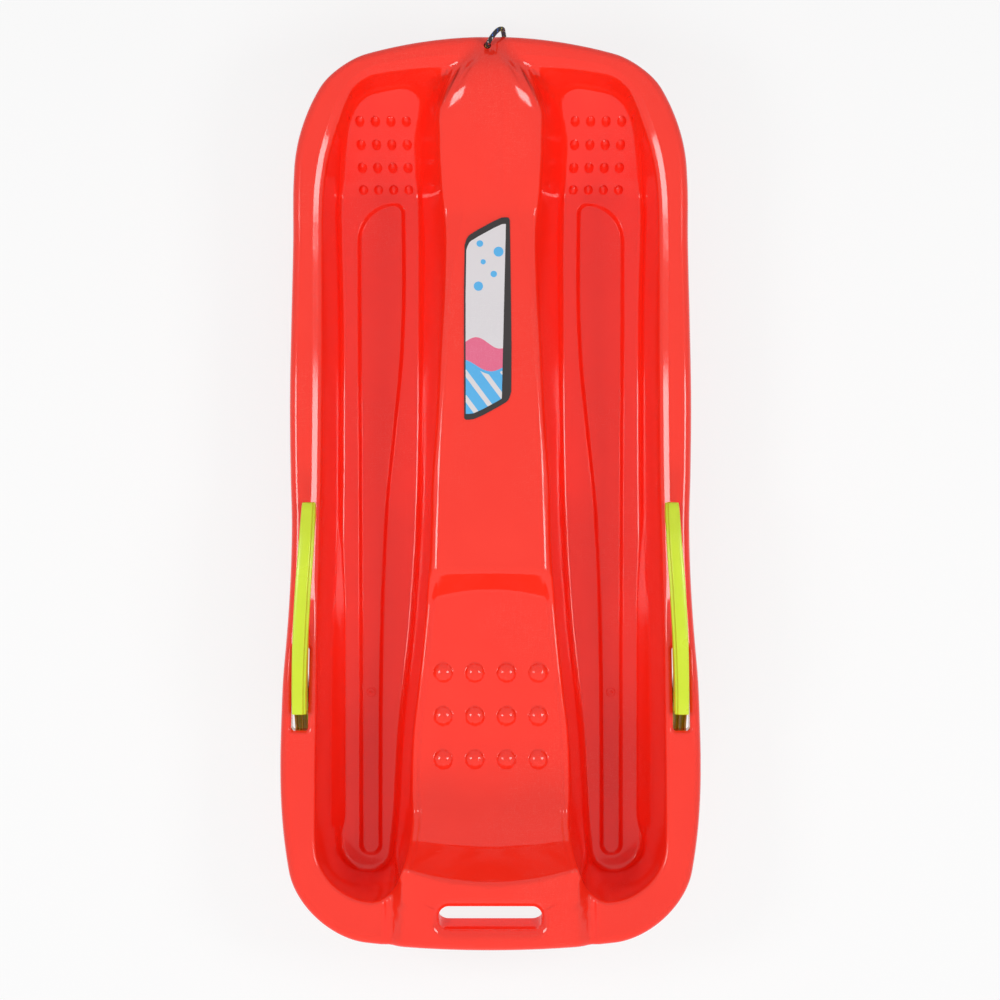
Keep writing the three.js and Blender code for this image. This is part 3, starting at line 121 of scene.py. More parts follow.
# Corner radii in plan: outer rear, inner rear, outer front and inner front
TROUGH_TOP_ROUNDS = (50.0, 26.0, 14.0, 14.0)
TROUGH_FOOT_ROUNDS = (27.0, 22.0, 12.0, 28.0)
RUNNER_ROUNDS = (12.2, 12.2, 40.0, 12.0)

# Ledge along the outer wall beside the rider
LEDGE_FOOT = HALF_WIDTH * 0.729
LEDGE_SLOPE = 2.89
LEDGE_FRONT_END = HALF_LENGTH * -0.247
LEDGE_FRONT_FADE = 0.12
LEDGE_REAR_END = HALF_LENGTH * -0.753
LEDGE_REAR_FADE = 0.9
LEDGE_BLEND = 3.0

# Runner pressed into each trough floor
RUNNER_OUTER_SHARES = [[-0.9, 0.66], [-0.25, 0.662], [0.162, 0.666], [0.475, 0.669], [0.72, 0.669]]
RUNNER_INNER_SHARES = [
    [-0.9, 0.54], [-0.65, 0.54], [-0.42, 0.537], [-0.187, 0.525], [-0.012, 0.505], [0.163, 0.467],
    [0.3, 0.438], [0.396, 0.427], [0.72, 0.427],
]
RUNNER_FRONT = FOOT_PLANE_START - 12.6
RUNNER_REAR = TROUGH_REAR_FOOT + 14.2
RUNNER_EDGE = 5.0

# Nose hump on the spine
NOSE_ANCHOR = RUNNER_FRONT - 24.0
HUMP_START = NOSE_ANCHOR - 12.4
HUMP_RUN = HALF_LENGTH - HUMP_START
HUMP_HEIGHT = 53.0
HUMP_SHARES = [
    [0, 0], [0.075, 0.005], [0.15, 0.07], [0.325, 0.33], [0.475, 0.6], [0.625, 0.85], [0.7375, 0.975],
    [0.825, 1], [0.8875, 0.94], [0.9375, 0.87], [1, 0.86],
]
CROWN_SHARES = [
    [-0.1, 0.02], [0, 0.03], [0.2125, 0.08], [0.45, 0.14], [0.6575, 0.2], [0.825, 0.18], [1, 0],
]
CROWN_END_SHARE = 0.3
CROWN_START_SHARE = 0.3
SADDLE_DEPTH = 1.5
CHAMFER_SHARES = [
    [-0.17, 0.26], [0.155, 0.235], [0.34, 0.205], [0.483, 0.186], [0.562, 0.158], [0.636, 0.125],
]
CHAMFER_DROP = 3.0

# Between these shares of the half length the middle widens into the nose and the rear platform
NOSE_SPREAD = (0.86, 0.95)
TAIL_SPREAD = (-0.8, -0.85)
NOSE_SPREAD_START = 0.3

# Seat and back
SEAT_STEP_TOP = HALF_LENGTH * -0.1724
SEAT_STEP_FOOT = SEAT_STEP_TOP - 19.2
SEAT_STEP_BOW = 168.4
SEAT_STEP_BLEND = 3.0
SEAT_RIM_WIDTH = 9.0
SEAT_RIM_RISE = 2.5
BACK_TOP = 65.9 - HALF_LENGTH
BACK_CREASE = BACK_TOP + 30.5
BACK_FOOT = BACK_CREASE + 26.0
BACK_CREASE_RISE = 18.0
BACK_FOOT_BOW = 833.0
BACK_CREASE_BOW = 588.0
BACK_TOP_BOW = 223.7
BACK_FOOT_BLEND = 6.0
BACK_CREASE_BLEND = 1.5
BACK_TOP_BLEND = 3.0

# Rear platform, hand grip and rope hole
PLATFORM_SIDE = HALF_WIDTH * 0.4434
PLATFORM_SIDE_RUN = 8.0
PLATFORM_FALL = 2.0
VALLEY_HALF = 7.0
VALLEY_PLACE = PLATFORM_SIDE + VALLEY_HALF
VALLEY_DEPTH = 3.0
GRIP_HALF = 50.5
GRIP_REAR = 21.0 - HALF_LENGTH
GRIP_OPENING = 23.0
GRIP_FRONT = GRIP_REAR + GRIP_OPENING
GRIP_ROUND = 10.0
GRIP_DISH_REACH = 10.0
GRIP_DISH_DEPTH = 6.0
GRIP_COLLAR_DEPTH = 16.0
GRIP_COLLAR_LEAN = 8.0
ROPE_HOLE = (-2.9, HALF_LENGTH - 10.2)
ROPE_HOLE_RADIUS = 3.4

# Brake slots, lugs and pins
PIN_Y = HALF_LENGTH * -0.445
PIN_Z = RIM_HEIGHT - 14.0
SLOT_INSET = 18.4
SLOT_HALF_WIDTH = 8.4
SLOT_LEAN = 0.018
SLOT_FRONT = PIN_Y + 48.2
SLOT_REAR = PIN_Y - 34.3
SLOT_ROUND = 3.0
SLOT_LIP_REACH = 4.0
SLOT_LIP_DROP = 2.2
PIN_RADIUS = 2.5
PIN_HEAD_RADIUS = 4.0
PIN_HEAD_THICKNESS = 1.2
PIN_HEAD_DOME = ((0, 2.2), (0.25, 3.3), (0.6, PIN_HEAD_RADIUS))
PIN_SIDES = 32
LUG_THICKNESS = 3.5
LUG_DROP = 9.0
REST_GAP = 0.3

# Bumps
SEAT_BUMP_RADIUS = 10.0
SEAT_BUMP_HEIGHT = 4.8
FOOT_BUMP_RADIUS = 4.6
FOOT_BUMP_HEIGHT = 2.6
SEAT_BUMPS = [(31.7 * (column - 1.5), SEAT_STEP_FOOT - 82.5 - 43.4 * row)
              for row in range(3) for column in range(4)]
FOOT_BUMPS = [(HALF_WIDTH * 0.41 + 15.6 * column, FOOT_PLANE_START + 60.2 - 20.3 * row)
              for row in range(4) for column in range(4)]
BUMP_FOOT = 0.2
GATE_MARK = (124.6, -204.7)
GATE_RING_RADIUS = 4.6
GATE_RING_HALF = 0.9
GATE_RING_DEPTH = 0.35
GATE_DOT_RADIUS = 1.7
GATE_DOT_HEIGHT = 0.6

# Rope and coil
ROPE_RADIUS = 2.25
KNOT_RADIUS = 5.8
KNOT_LENGTH = 10.0
KNOT_SHRINK = 0.98
KNOT_SIDES = 16
KNOT_STEPS = 96
KNOT_CORE_POINTS = 9
KNOT_SEAT_POINTS = 24
KNOT_SEAT_SHARE = 0.9
ROPE_SIDES = 14
ROPE_STEP = 1.6
ARCH_RISE = 11.0
ARCH_REACH_X = 5.9
HANG_X = 13.5
HANG_Y = HALF_LENGTH + 4.8
COIL_X = -20.0
COIL_Y = HALF_LENGTH - 77.0
COIL_RADIUS = 33.4
COIL_PITCH = 5.0
COIL_TURNS = 7.2
COIL_CLIMB_TURNS = 0.5
COIL_REVERSE_BLEND = 0.12
COIL_UNDER = 1.4
COIL_LEAD = 9.7
COIL_TAIL = 25.0
COIL_TAIL_DROP = (0.42, 0.8)
COIL_STEPS_PER_TURN = 36
COIL_LEAD_STEPS = 4
COIL_TAIL_STEPS = 17
TIE_ANGLE = 150.0
TIE_WIDTH = 4.0
TIE_THICKNESS = 0.8
TIE_CLEARANCE = 0.35
TIE_ROUND = 2.4
TIE_SOFT = 0.15
TIE_GROOVE = 0.2
TIE_GROOVE_EDGES = (0.9, 0.6)


def through(shares, place_scale, value_scale):
    """A smooth curve through a table of shares. The function that it gives returns values and slopes."""
    places = np.array([share[0] for share in shares]) * place_scale
    values = np.array([share[1] for share in shares]) * value_scale
    steps = np.diff(places)
    rises = np.diff(values) / steps
    slopes = np.concatenate([
        rises[:1], (rises[:-1] * steps[1:] + rises[1:] * steps[:-1]) / (steps[:-1] + steps[1:]), rises[-1:],
    ])

    def at(place):
        place = np.asarray(place, dtype=float)
        i = np.clip(np.searchsorted(places, place) - 1, 0, len(steps) - 1)
        h = steps[i]
        t = np.clip((place - places[i]) / h, 0, 1)
        value = (values[i] * (1 + 2 * t) * (1 - t) ** 2 + values[i + 1] * t * t * (3 - 2 * t)
                 + h * (slopes[i] * t * (1 - t) ** 2 - slopes[i + 1] * t * t * (1 - t)))
        slope = (6 * t * (1 - t) * rises[i] + slopes[i] * (1 - t) * (1 - 3 * t)
                 + slopes[i + 1] * t * (3 * t - 2))
        beyond = (place <= places[0]) | (place >= places[-1])
        return value, np.where(beyond, 0.0, slope)

    return at


def rounded_inside(a, b, radius):
    """The distance inside two edges that meet in a round corner."""
    past = np.hypot(np.maximum(radius - a, 0), np.maximum(radius - b, 0))
    return np.maximum(radius, np.minimum(a, b)) - past


def soft_ramp(distance, blend):
    """Rises with the distance from 0 on, with a soft start."""
    inside = (distance + blend) ** 2 / (4 * blend)
    return np.where(distance <= -blend, 0.0, np.where(distance >= blend, distance, inside))


def smooth_step(start, end, value):
    t = np.clip((value - start) / (end - start), 0, 1)
    return t * t * (3 - 2 * t)


def mixed(a, b, share):
    return a + (b - a) * share


side_of = through(SIDE_SHARES, HALF_LENGTH, HALF_WIDTH)
rim_band_of = through(RIM_BAND_SHARES, HALF_LENGTH, RIM_BAND)
outer_foot_of = through(OUTER_FOOT_SHARES, HALF_LENGTH, HALF_WIDTH)
inner_top_of = through(INNER_TOP_SHARES, HALF_LENGTH, HALF_WIDTH)
inner_foot_of = through(INNER_FOOT_SHARES, HALF_LENGTH, HALF_WIDTH)
runner_outer_of = through(RUNNER_OUTER_SHARES, HALF_LENGTH, HALF_WIDTH)
runner_inner_of = through(RUNNER_INNER_SHARES, HALF_LENGTH, HALF_WIDTH)
hump_of = through(HUMP_SHARES, HUMP_RUN, HUMP_HEIGHT)
crown_of = through(CROWN_SHARES, HUMP_RUN, HUMP_HEIGHT)
chamfer_of = through(CHAMFER_SHARES, HALF_LENGTH, HALF_WIDTH)
SLOT_CENTRE = float(side_of(PIN_Y)[0]) - SLOT_INSET


def inside_curve(curve, x, sign):
    """How far x lies inside a curve along the hull, or outside it with the sign -1."""
    value, slope = curve
    return sign * (value - x) / np.hypot(1, slope)


def inside_outline(x, y):
    side = inside_curve(side_of(y), x, 1)
    front = HALF_LENGTH - x * x / (2 * FRONT_BOW) - y
    rear = y + HALF_LENGTH - x * x / (2 * REAR_BOW)
    return np.minimum(rounded_inside(side, front, FRONT_CORNER), rounded_inside(side, rear, REAR_CORNER))


def inside_area(x, outer, inner, front, rear, rounds):
    """The distance inside two curves along the hull and two ends, with round corners."""
    sides = inside_curve(outer, x, 1), inside_curve(inner, x, -1)
    corners = [(side, end) for end in (rear, front) for side in sides]
    return np.minimum.reduce([rounded_inside(*corner, radius) for corner, radius in zip(corners, rounds)])


def trough_top(x, y):
    side, band = side_of(y), rim_band_of(y)
    front = TROUGH_FRONT - x * x / (2 * TROUGH_FRONT_BOW) - y
    outer = (side[0] - band[0], side[1] - band[1])
    return inside_area(x, outer, inner_top_of(y), front, y - TROUGH_REAR, TROUGH_TOP_ROUNDS)


def trough_foot(x, y):
    front = TROUGH_FRONT_FOOT - x * x / (2 * TROUGH_FRONT_BOW) - y
    return inside_area(x, outer_foot_of(y), inner_foot_of(y), front, y - TROUGH_REAR_FOOT, TROUGH_FOOT_ROUNDS)


def inside_runner(x, y):
    return inside_area(x, runner_outer_of(y), runner_inner_of(y), RUNNER_FRONT - y, y - RUNNER_REAR,
                       RUNNER_ROUNDS)


def outside_grip(x, y):
    end, front, rear = GRIP_HALF - np.abs(x), GRIP_FRONT - y, y - GRIP_REAR
    return -np.minimum(rounded_inside(end, front, GRIP_ROUND), rounded_inside(end, rear, GRIP_ROUND))


def outside_rope_hole(x, y):
    return np.hypot(x - ROPE_HOLE[0], y - ROPE_HOLE[1]) - ROPE_HOLE_RADIUS


def outside_brake_slot(x, y):
    sideways = SLOT_HALF_WIDTH - np.abs(np.abs(x) - SLOT_CENTRE - SLOT_LEAN * (PIN_Y - y))
    return -rounded_inside(sideways, np.minimum(SLOT_FRONT - y, y - SLOT_REAR), SLOT_ROUND)


def wall_drop(in_top, in_foot, depth):
    """How far a filleted wall has dropped past its top edge."""
    run = np.maximum(in_top - in_foot, WALL / 10)
    tilt = np.arctan2(depth, run)
    reach_top = TOP_FILLET * np.tan(tilt / 2)
    reach_foot = FOOT_FILLET * np.tan(tilt / 2)
    upper = TOP_FILLET - np.sqrt(np.maximum(TOP_FILLET ** 2 - (in_top + reach_top) ** 2, 0))
    lower = depth - FOOT_FILLET + np.sqrt(np.maximum(FOOT_FILLET ** 2 - (reach_foot - in_foot) ** 2, 0))
    drop = depth * in_top / run
    drop = np.where(reach_foot - in_foot < FOOT_FILLET * np.sin(tilt), lower, drop)
    drop = np.where(in_top + reach_top < TOP_FILLET * np.sin(tilt), upper, drop)
    drop = np.where(in_foot >= reach_foot, depth, drop)
    return np.where(in_top <= -reach_top, 0.0, drop)


def rim_top(y):
    front = np.maximum(y - RIM_FRONT_START, 0) / RIM_FRONT_RUN
    rear = np.maximum(-y - RIM_REAR_START, 0) / RIM_REAR_RUN
    return RIM_HEIGHT + NOSE_RISE * front * front + TAIL_RISE * rear * rear


def spine_top(x, y):
    """Height of the middle: nose hump, spine, seat, back and platform."""
    edge = inner_top_of(y)[0]
    across = x / edge
    on_nose = smooth_step(HUMP_START, HUMP_START + HUMP_RUN * CROWN_END_SHARE, y)
    height = SPINE_HEIGHT + hump_of(y - HUMP_START)[0]
    past = np.maximum(across - CROWN_START_SHARE, 0) / (1 - CROWN_START_SHARE)
    height = height - crown_of(y - HUMP_START)[0] * on_nose * past ** 2
    saddle = np.maximum(1 - (across / CROWN_START_SHARE) ** 2, 0) ** 2
    height = height - SADDLE_DEPTH * on_nose * saddle
    chamfer_start = chamfer_of(y)[0]
    on_chamfer = soft_ramp(x - chamfer_start, BEVEL_DROP / 4) / np.maximum(edge - chamfer_start, TOP_FILLET)
    before_step = smooth_step(SEAT_STEP_TOP - BEVEL_WIDTH, SEAT_STEP_TOP, y)
    height = height - CHAMFER_DROP * on_chamfer * (1 - on_nose) * before_step
    step_run = SEAT_STEP_TOP - SEAT_STEP_FOOT + x * x / (2 * SEAT_STEP_BOW)
    step_slope = (SPINE_HEIGHT - SEAT_HEIGHT) / step_run
    height = height - step_slope * soft_ramp(SEAT_STEP_TOP - y, SEAT_STEP_BLEND)
    height = height + step_slope * soft_ramp(SEAT_STEP_TOP - step_run - y, SEAT_STEP_BLEND)
    in_seat = (smooth_step(SEAT_STEP_TOP, SEAT_STEP_FOOT - BEVEL_WIDTH, y)
               * smooth_step(BACK_TOP, BACK_CREASE, y))
    height = height + SEAT_RIM_RISE * in_seat * smooth_step(edge - SEAT_RIM_WIDTH, edge - TOP_FILLET, x)
    foot = BACK_FOOT + x * x / (2 * BACK_FOOT_BOW)
    crease = BACK_CREASE + x * x / (2 * BACK_CREASE_BOW)
    top = BACK_TOP + x * x / (2 * BACK_TOP_BOW)
    low_slope = BACK_CREASE_RISE / (foot - crease)
    high_slope = (PLATFORM_HEIGHT - SEAT_HEIGHT - BACK_CREASE_RISE) / (crease - top)
    height = height + low_slope * soft_ramp(foot - y, BACK_FOOT_BLEND)
    height = height + (high_slope - low_slope) * soft_ramp(crease - y, BACK_CREASE_BLEND)
    height = height - high_slope * soft_ramp(top - y, BACK_TOP_BLEND)
    return height - PLATFORM_FALL * smooth_step(BACK_TOP, -HALF_LENGTH, y)


def plateau(x, y):
    """Height of everything beside the troughs: the middle, the rim and what joins them."""
    at_front, at_rear = (smooth_step(HALF_LENGTH * start, HALF_LENGTH * end, y)
                         for start, end in (NOSE_SPREAD, TAIL_SPREAD))
    edge = inner_top_of(y)[0]
    start = mixed(inner_foot_of(y)[0], edge * NOSE_SPREAD_START, at_front)
    end = mixed(outer_foot_of(y)[0], edge + 2 * TOP_FILLET, at_front)
    start = mixed(start, PLATFORM_SIDE - PLATFORM_SIDE_RUN, at_rear)
    end = mixed(end, PLATFORM_SIDE + PLATFORM_SIDE_RUN / 2, at_rear)
    height = mixed(spine_top(x, y), rim_top(y), smooth_step(start, end, x))
    valley = np.maximum(1 - ((x - VALLEY_PLACE) / VALLEY_HALF) ** 2, 0) ** 2
    return height - VALLEY_DEPTH * valley * at_rear


def hull_top(signed_x, y):
    """Height of the hull's upper face, without its small bumps."""
    x = np.abs(signed_x)
    top, foot = trough_top(x, y), trough_foot(x, y)
    inner = inner_top_of(y)[0]
    in_bevel = top + BEVEL_WIDTH + TOP_FILLET / 2
    bevelled = soft_ramp(in_bevel, BEVEL_EDGE) - soft_ramp(in_bevel - BEVEL_WIDTH, BEVEL_EDGE)
    bevelled = bevelled / BEVEL_WIDTH
    bevelled = bevelled * smooth_step(BEVEL_END, BEVEL_FULL, y)
    high = plateau(x, y) - BEVEL_DROP * bevelled * smooth_step(inner, inner + 2 * BEVEL_WIDTH, x)
    low = FLOOR_HEIGHT + FOOT_PLANE_SLOPE * soft_ramp(y - FOOT_PLANE_START, FOOT_PLANE_BLEND)
    low = low - RUNNER_DEPTH * smooth_step(0, RUNNER_EDGE, inside_runner(x, y))
    height = high - wall_drop(top, foot, high - low)
    ledge = (FLOOR_HEIGHT + (x - LEDGE_FOOT) * LEDGE_SLOPE
             - LEDGE_FRONT_FADE * soft_ramp(y - LEDGE_FRONT_END, BEVEL_WIDTH)
             - LEDGE_REAR_FADE * soft_ramp(LEDGE_REAR_END - y, BEVEL_WIDTH))
    ledge = np.minimum(ledge, high)
    overlap = np.maximum(LEDGE_BLEND - np.abs(height - ledge), 0)
    with_ledge = np.maximum(height, ledge) + overlap * overlap / (4 * LEDGE_BLEND)
    by_ledge = (top > 0) & (foot < RUNNER_EDGE * 4) & (x > LEDGE_FOOT - RUNNER_EDGE)
    height = np.where(by_ledge, with_ledge, height)
    rim = inside_outline(x, y)
    turn = np.clip((RIM_ROUND - np.maximum(rim, LIP_START)) / RIM_ROUND_SPREAD, 0, 1)
    lip_turn = (RIM_ROUND - LIP_START) / RIM_ROUND_SPREAD
    lip_slope = RIM_ROUND_DROP / RIM_ROUND_SPREAD * lip_turn / math.sqrt(1 - lip_turn ** 2)
    height = height - RIM_ROUND_DROP * (1 - np.sqrt(1 - turn * turn))
    height = height - lip_slope * np.maximum(LIP_START - rim, 0)
    grip = np.maximum(1 - np.maximum(outside_grip(x, y), 0) / GRIP_DISH_REACH, 0)
    height = height - GRIP_DISH_DEPTH * grip ** 2
    slot = np.maximum(1 - np.maximum(outside_brake_slot(x, y), 0) / SLOT_LIP_REACH, 0)
    return height - SLOT_LIP_DROP * slot ** 2


def bump(distance, radius, height):
    """A cap of a ball with a small soft foot."""
    ball = (radius ** 2 + height ** 2) / (2 * height)
    return soft_ramp(np.sqrt(np.maximum(ball ** 2 - distance ** 2, 0)) - ball + height, BUMP_FOOT)


def far_from(x, y, places):
    """The distance from the nearest of some places."""
    return np.min([np.hypot(x - p, y - q) for p, q in places], axis=0)


def dressed_top(x, y):
    """Height of the upper face with the seat bumps, the foot bumps and the mould's gate marks."""
    height = hull_top(x, y)
    for side, places, radius, rise in ((x, SEAT_BUMPS, SEAT_BUMP_RADIUS, SEAT_BUMP_HEIGHT),
                                       (np.abs(x), FOOT_BUMPS, FOOT_BUMP_RADIUS, FOOT_BUMP_HEIGHT)):
        for place in places:
            height = height + bump(far_from(side, y, [place]), radius, rise)
    mark = far_from(np.abs(x), y, [GATE_MARK])
    ring = np.maximum(1 - ((mark - GATE_RING_RADIUS) / GATE_RING_HALF) ** 2, 0)
    return height - GATE_RING_DEPTH * ring ** 2 + bump(mark, GATE_DOT_RADIUS, GATE_DOT_HEIGHT)


def surface_slopes(height, x, y, reach):
    slope_x = (height(x + reach, y) - height(x - reach, y)) / (2 * reach)
    slope_y = (height(x, y + reach) - height(x, y - reach)) / (2 * reach)
    return slope_x, slope_y


def hull_under(x, y):
    """Height of the lower face: the upper face set back by the wall, measured square to it."""
    slope_x, slope_y = surface_slopes(hull_top, x, y, WALL / 60)
    slope = np.hypot(slope_x, slope_y)
    lowest = hull_top(x, y) - WALL
    steep = slope > 1e-6
    lean = np.where(steep, slope, 1)
    for i in range(1, UNDER_STEPS):
        turn = (math.pi / 2) * (i / UNDER_STEPS)
        away = WALL * math.sin(turn)
        there = hull_top(x - slope_x / lean * away, y - slope_y / lean * away) - WALL * math.cos(turn)
        lowest = np.where(steep, np.minimum(lowest, there), lowest)
    return lowest


# The camera looks straight down on the sled, as in the photograph. Its place is in metres
CAMERA_SENSOR = 36.0
CAMERA_LENS = 74.47
CAMERA_REACH = 50.0
CAMERA_PLACE = (0.00933, -0.00540, 2.150)


def add_camera():
    data = bpy.data.cameras.new("camera")
    data.sensor_width = CAMERA_SENSOR
    data.lens = CAMERA_LENS
    data.clip_end = CAMERA_REACH
    camera = bpy.data.objects.new("camera", data)
    camera.location = CAMERA_PLACE
    scene.collection.objects.link(camera)
    scene.camera = camera


def mesh_object(name, points, faces, materials, smooth=True):
    """An object from points in millimetres."""
    mesh = bpy.data.meshes.new(name)
    metres = np.asarray(points, dtype=float) / 1000
    mesh.from_pydata([tuple(p) for p in metres], [], [tuple(map(int, face)) for face in faces])
    mesh.validate()
    mesh.update()
    for material in materials:
        mesh.materials.append(material)
    mesh.polygons.foreach_set("use_smooth", [smooth] * len(mesh.polygons))
    made = bpy.data.objects.new(name, mesh)
    scene.collection.objects.link(made)
    return made


# Rope
def catmull(points, per_span):
    """A centripetal curve through the points."""
    points = [np.array(p, dtype=float) for p in points]
    line = [2 * points[0] - points[1]] + points + [2 * points[-1] - points[-2]]
    out = []
    for i in range(1, len(line) - 2):
        p0, p1, p2, p3 = line[i - 1:i + 3]
        spans = (p1 - p0, p2 - p1, p3 - p2)
        d0, d1, d2 = (max(float(np.dot(span, span)) ** 0.25, 1e-4) for span in spans)
        t1 = ((p1 - p0) / d0 - (p2 - p0) / (d0 + d1) + (p2 - p1) / d1) * d1
        t2 = ((p2 - p1) / d1 - (p3 - p1) / (d1 + d2) + (p3 - p2) / d2) * d1
        for k in range(per_span):
            t = k / per_span
            out.append(p1 * (2 * t ** 3 - 3 * t ** 2 + 1) + t1 * (t ** 3 - 2 * t ** 2 + t)
                       + p2 * (3 * t ** 2 - 2 * t ** 3) + t2 * (t ** 3 - t ** 2))
    return np.array(out + [points[-1]])


def wound(turned):
    """A point of the coil, which winds in, climbs by one pitch and winds out again."""
    low = COIL_UNDER + ROPE_RADIUS
    past = turned - COIL_TURNS / 2
    climb = np.clip(past / COIL_CLIMB_TURNS + 0.5, 0, 1)
    outward = 2 * soft_ramp(past, COIL_REVERSE_BLEND) - past
    radius = COIL_RADIUS + COIL_PITCH * (outward - COIL_TURNS / 2)
    angle = -2 * math.pi * turned
    lift = COIL_PITCH * climb * climb * (3 - 2 * climb)
    return np.stack([COIL_X + radius * np.cos(angle), COIL_Y + radius * np.sin(angle), low + lift], axis=-1)


def coil_points():
    """The coil from its straight lead to its straight tail, which drops to lay the end knot on the ground."""
    body = wound(np.linspace(0, COIL_TURNS, int(COIL_TURNS * COIL_STEPS_PER_TURN) + 1))
    before = np.linspace(1, 0, COIL_LEAD_STEPS + 1)[:-1, None]
    lead = body[0] + before * np.array([0, COIL_LEAD, 0])
    angle = -2 * math.pi * COIL_TURNS
    after = np.linspace(0, 1, COIL_TAIL_STEPS + 1)[1:, None]
    tail = body[-1] + after * COIL_TAIL * np.array([math.sin(angle), -math.cos(angle), 0])
    drop = COIL_UNDER + ROPE_RADIUS + COIL_PITCH - KNOT_RADIUS - REST_GAP
    tail[:, 2] -= drop * smooth_step(*COIL_TAIL_DROP, after[:, 0])
    return np.vstack([lead, body, tail])


def travelled(points):
    """How far along a line each of its points lies."""
    return np.concatenate([[0], np.cumsum(np.linalg.norm(np.diff(points, axis=0), axis=1))])


def resampled(points, step):
    """Points at even steps along a line, each with how far along it lies."""
    along = travelled(points)
    places = np.linspace(0, along[-1], int(round(along[-1] / step)) + 1)
    return np.stack([np.interp(places, along, points[:, i]) for i in range(3)], axis=-1), places


def unit(rows):
    """Vectors brought to length 1."""
    return rows / np.maximum(np.linalg.norm(rows, axis=1), 1e-12)[:, None]


def carried_frames(points):
    """Two sideways directions at each point, carried along the line without twist."""
    along = unit(np.gradient(points, axis=0))
    side = np.cross(along[0], (0.0, 1.0, 0.0))
    sides = []
    for direction in along:
        side = side - direction * np.dot(side, direction)
        side = side / np.linalg.norm(side)
        sides.append(side)
    sides = np.array(sides)
    return sides, np.cross(along, sides)


def tube(name, points, radius, sides, material):
    """A tube with U round it, in turns, and V along it, in metres."""
    across, up = carried_frames(points)
    along = travelled(points)
    turn = np.linspace(0, 2 * math.pi, sides + 1)[:-1]
    ring = across[:, None, :] * np.cos(turn)[None, :, None] + up[:, None, :] * np.sin(turn)[None, :, None]
    ring = points[:, None, :] + ring * radius
    count = len(points)
    ends = np.stack([points[0], points[-1]])
    vertices = np.vstack([ring.reshape(-1, 3), ends])
    i, k = np.meshgrid(np.arange(count - 1), np.arange(sides), indexing="ij")
    a, b = i * sides + k, i * sides + (k + 1) % sides
    faces = np.stack([a, b, b + sides, a + sides], axis=-1).reshape(-1, 4).tolist()
    turns = np.stack([k, k + 1, k + 1, k], axis=-1).reshape(-1, 4) / sides
    places = np.stack([along[i], along[i], along[i + 1], along[i + 1]], axis=-1).reshape(-1, 4)
    first, last = count * sides, count * sides + 1
    caps = [(first, (k + 1) % sides, k) for k in range(sides)]
    start = (count - 1) * sides
    caps += [(last, start + k, start + (k + 1) % sides) for k in range(sides)]
    made = mesh_object(name, vertices, faces + caps, [material])
    layer = made.data.uv_layers.new(name="braid")
    flat = np.stack([turns.reshape(-1), places.reshape(-1) / 1000], axis=-1)
    flat = np.vstack([flat, np.zeros((6 * sides, 2))])
    layer.data.foreach_set("uv", flat.astype(np.float32).reshape(-1))
    return made


# Materials
def linear(red, green, blue):
    """A colour written as on a screen, from 0 to 255, as the shader takes it."""
    shares = [channel / 255 for channel in (red, green, blue)]
    return tuple([s / 12.92 if s <= 0.04045 else ((s + 0.055) / 1.055) ** 2.4 for s in shares] + [1.0])


def effect_group(name, inputs, outputs):
    """A node group with named value inputs and outputs."""
    group = bpy.data.node_groups.new(name, "ShaderNodeTree")
    for label, value in inputs:
        socket = group.interface.new_socket(label, in_out="INPUT", socket_type="NodeSocketFloat")
        socket.default_value = value
    for label in outputs:
        group.interface.new_socket(label, in_out="OUTPUT", socket_type="NodeSocketFloat")
    return group, group.nodes.new("NodeGroupInput"), group.nodes.new("NodeGroupOutput")


class Wires:
    """Short calls for the nodes that the finishes share."""

    def __init__(self, tree):
        self.tree = tree

    def node(self, kind, **settings):
        made = self.tree.nodes.new(kind)
        for name, value in settings.items():
            setattr(made, name, value)
        return made

    def feed(self, socket, value):
        if isinstance(value, bpy.types.NodeSocket):
            self.tree.links.new(value, socket)
        else:
            socket.default_value = value

    def math(self, operation, a, b=0.0, c=0.0, clamp=False):
        made = self.node("ShaderNodeMath", operation=operation, use_clamp=clamp)
        for socket, value in zip(made.inputs, (a, b, c)):
            self.feed(socket, value)
        return made.outputs[0]

    def noise(self, vector, scale, detail=2.0):
        made = self.node("ShaderNodeTexNoise")
        for label, value in (("Vector", vector), ("Scale", scale), ("Detail", detail), ("Roughness", 0.5)):
            self.feed(made.inputs[label], value)
        return made.outputs["Fac"]

    def stretched(self, vector, by):
        made = self.node("ShaderNodeMapping")
        self.feed(made.inputs["Vector"], vector)
        made.inputs["Scale"].default_value = by
        return made.outputs[0]

    def span(self, value, low, high, to_low=0.0, to_high=1.0):
        made = self.node("ShaderNodeMapRange")
        for socket, number in zip(made.inputs, (value, low, high, to_low, to_high)):
            self.feed(socket, number)
        return made.outputs[0]

    def blend(self, share, a, b):
        made = self.node("ShaderNodeMix", data_type="RGBA")
        for label, value in (("Factor", share), ("A", a), ("B", b)):
            self.feed(made.inputs[label], value)
        return made.outputs["Result"]

    def background_rays(self):
        """1 for the rays that show the background: straight, mirrored or through something clear."""
        rays = self.node("ShaderNodeLightPath")
        seen = self.math("ADD", rays.outputs["Is Camera Ray"], rays.outputs["Is Glossy Ray"])
        return self.math("ADD", seen, rays.outputs["Is Transmission Ray"], clamp=True)


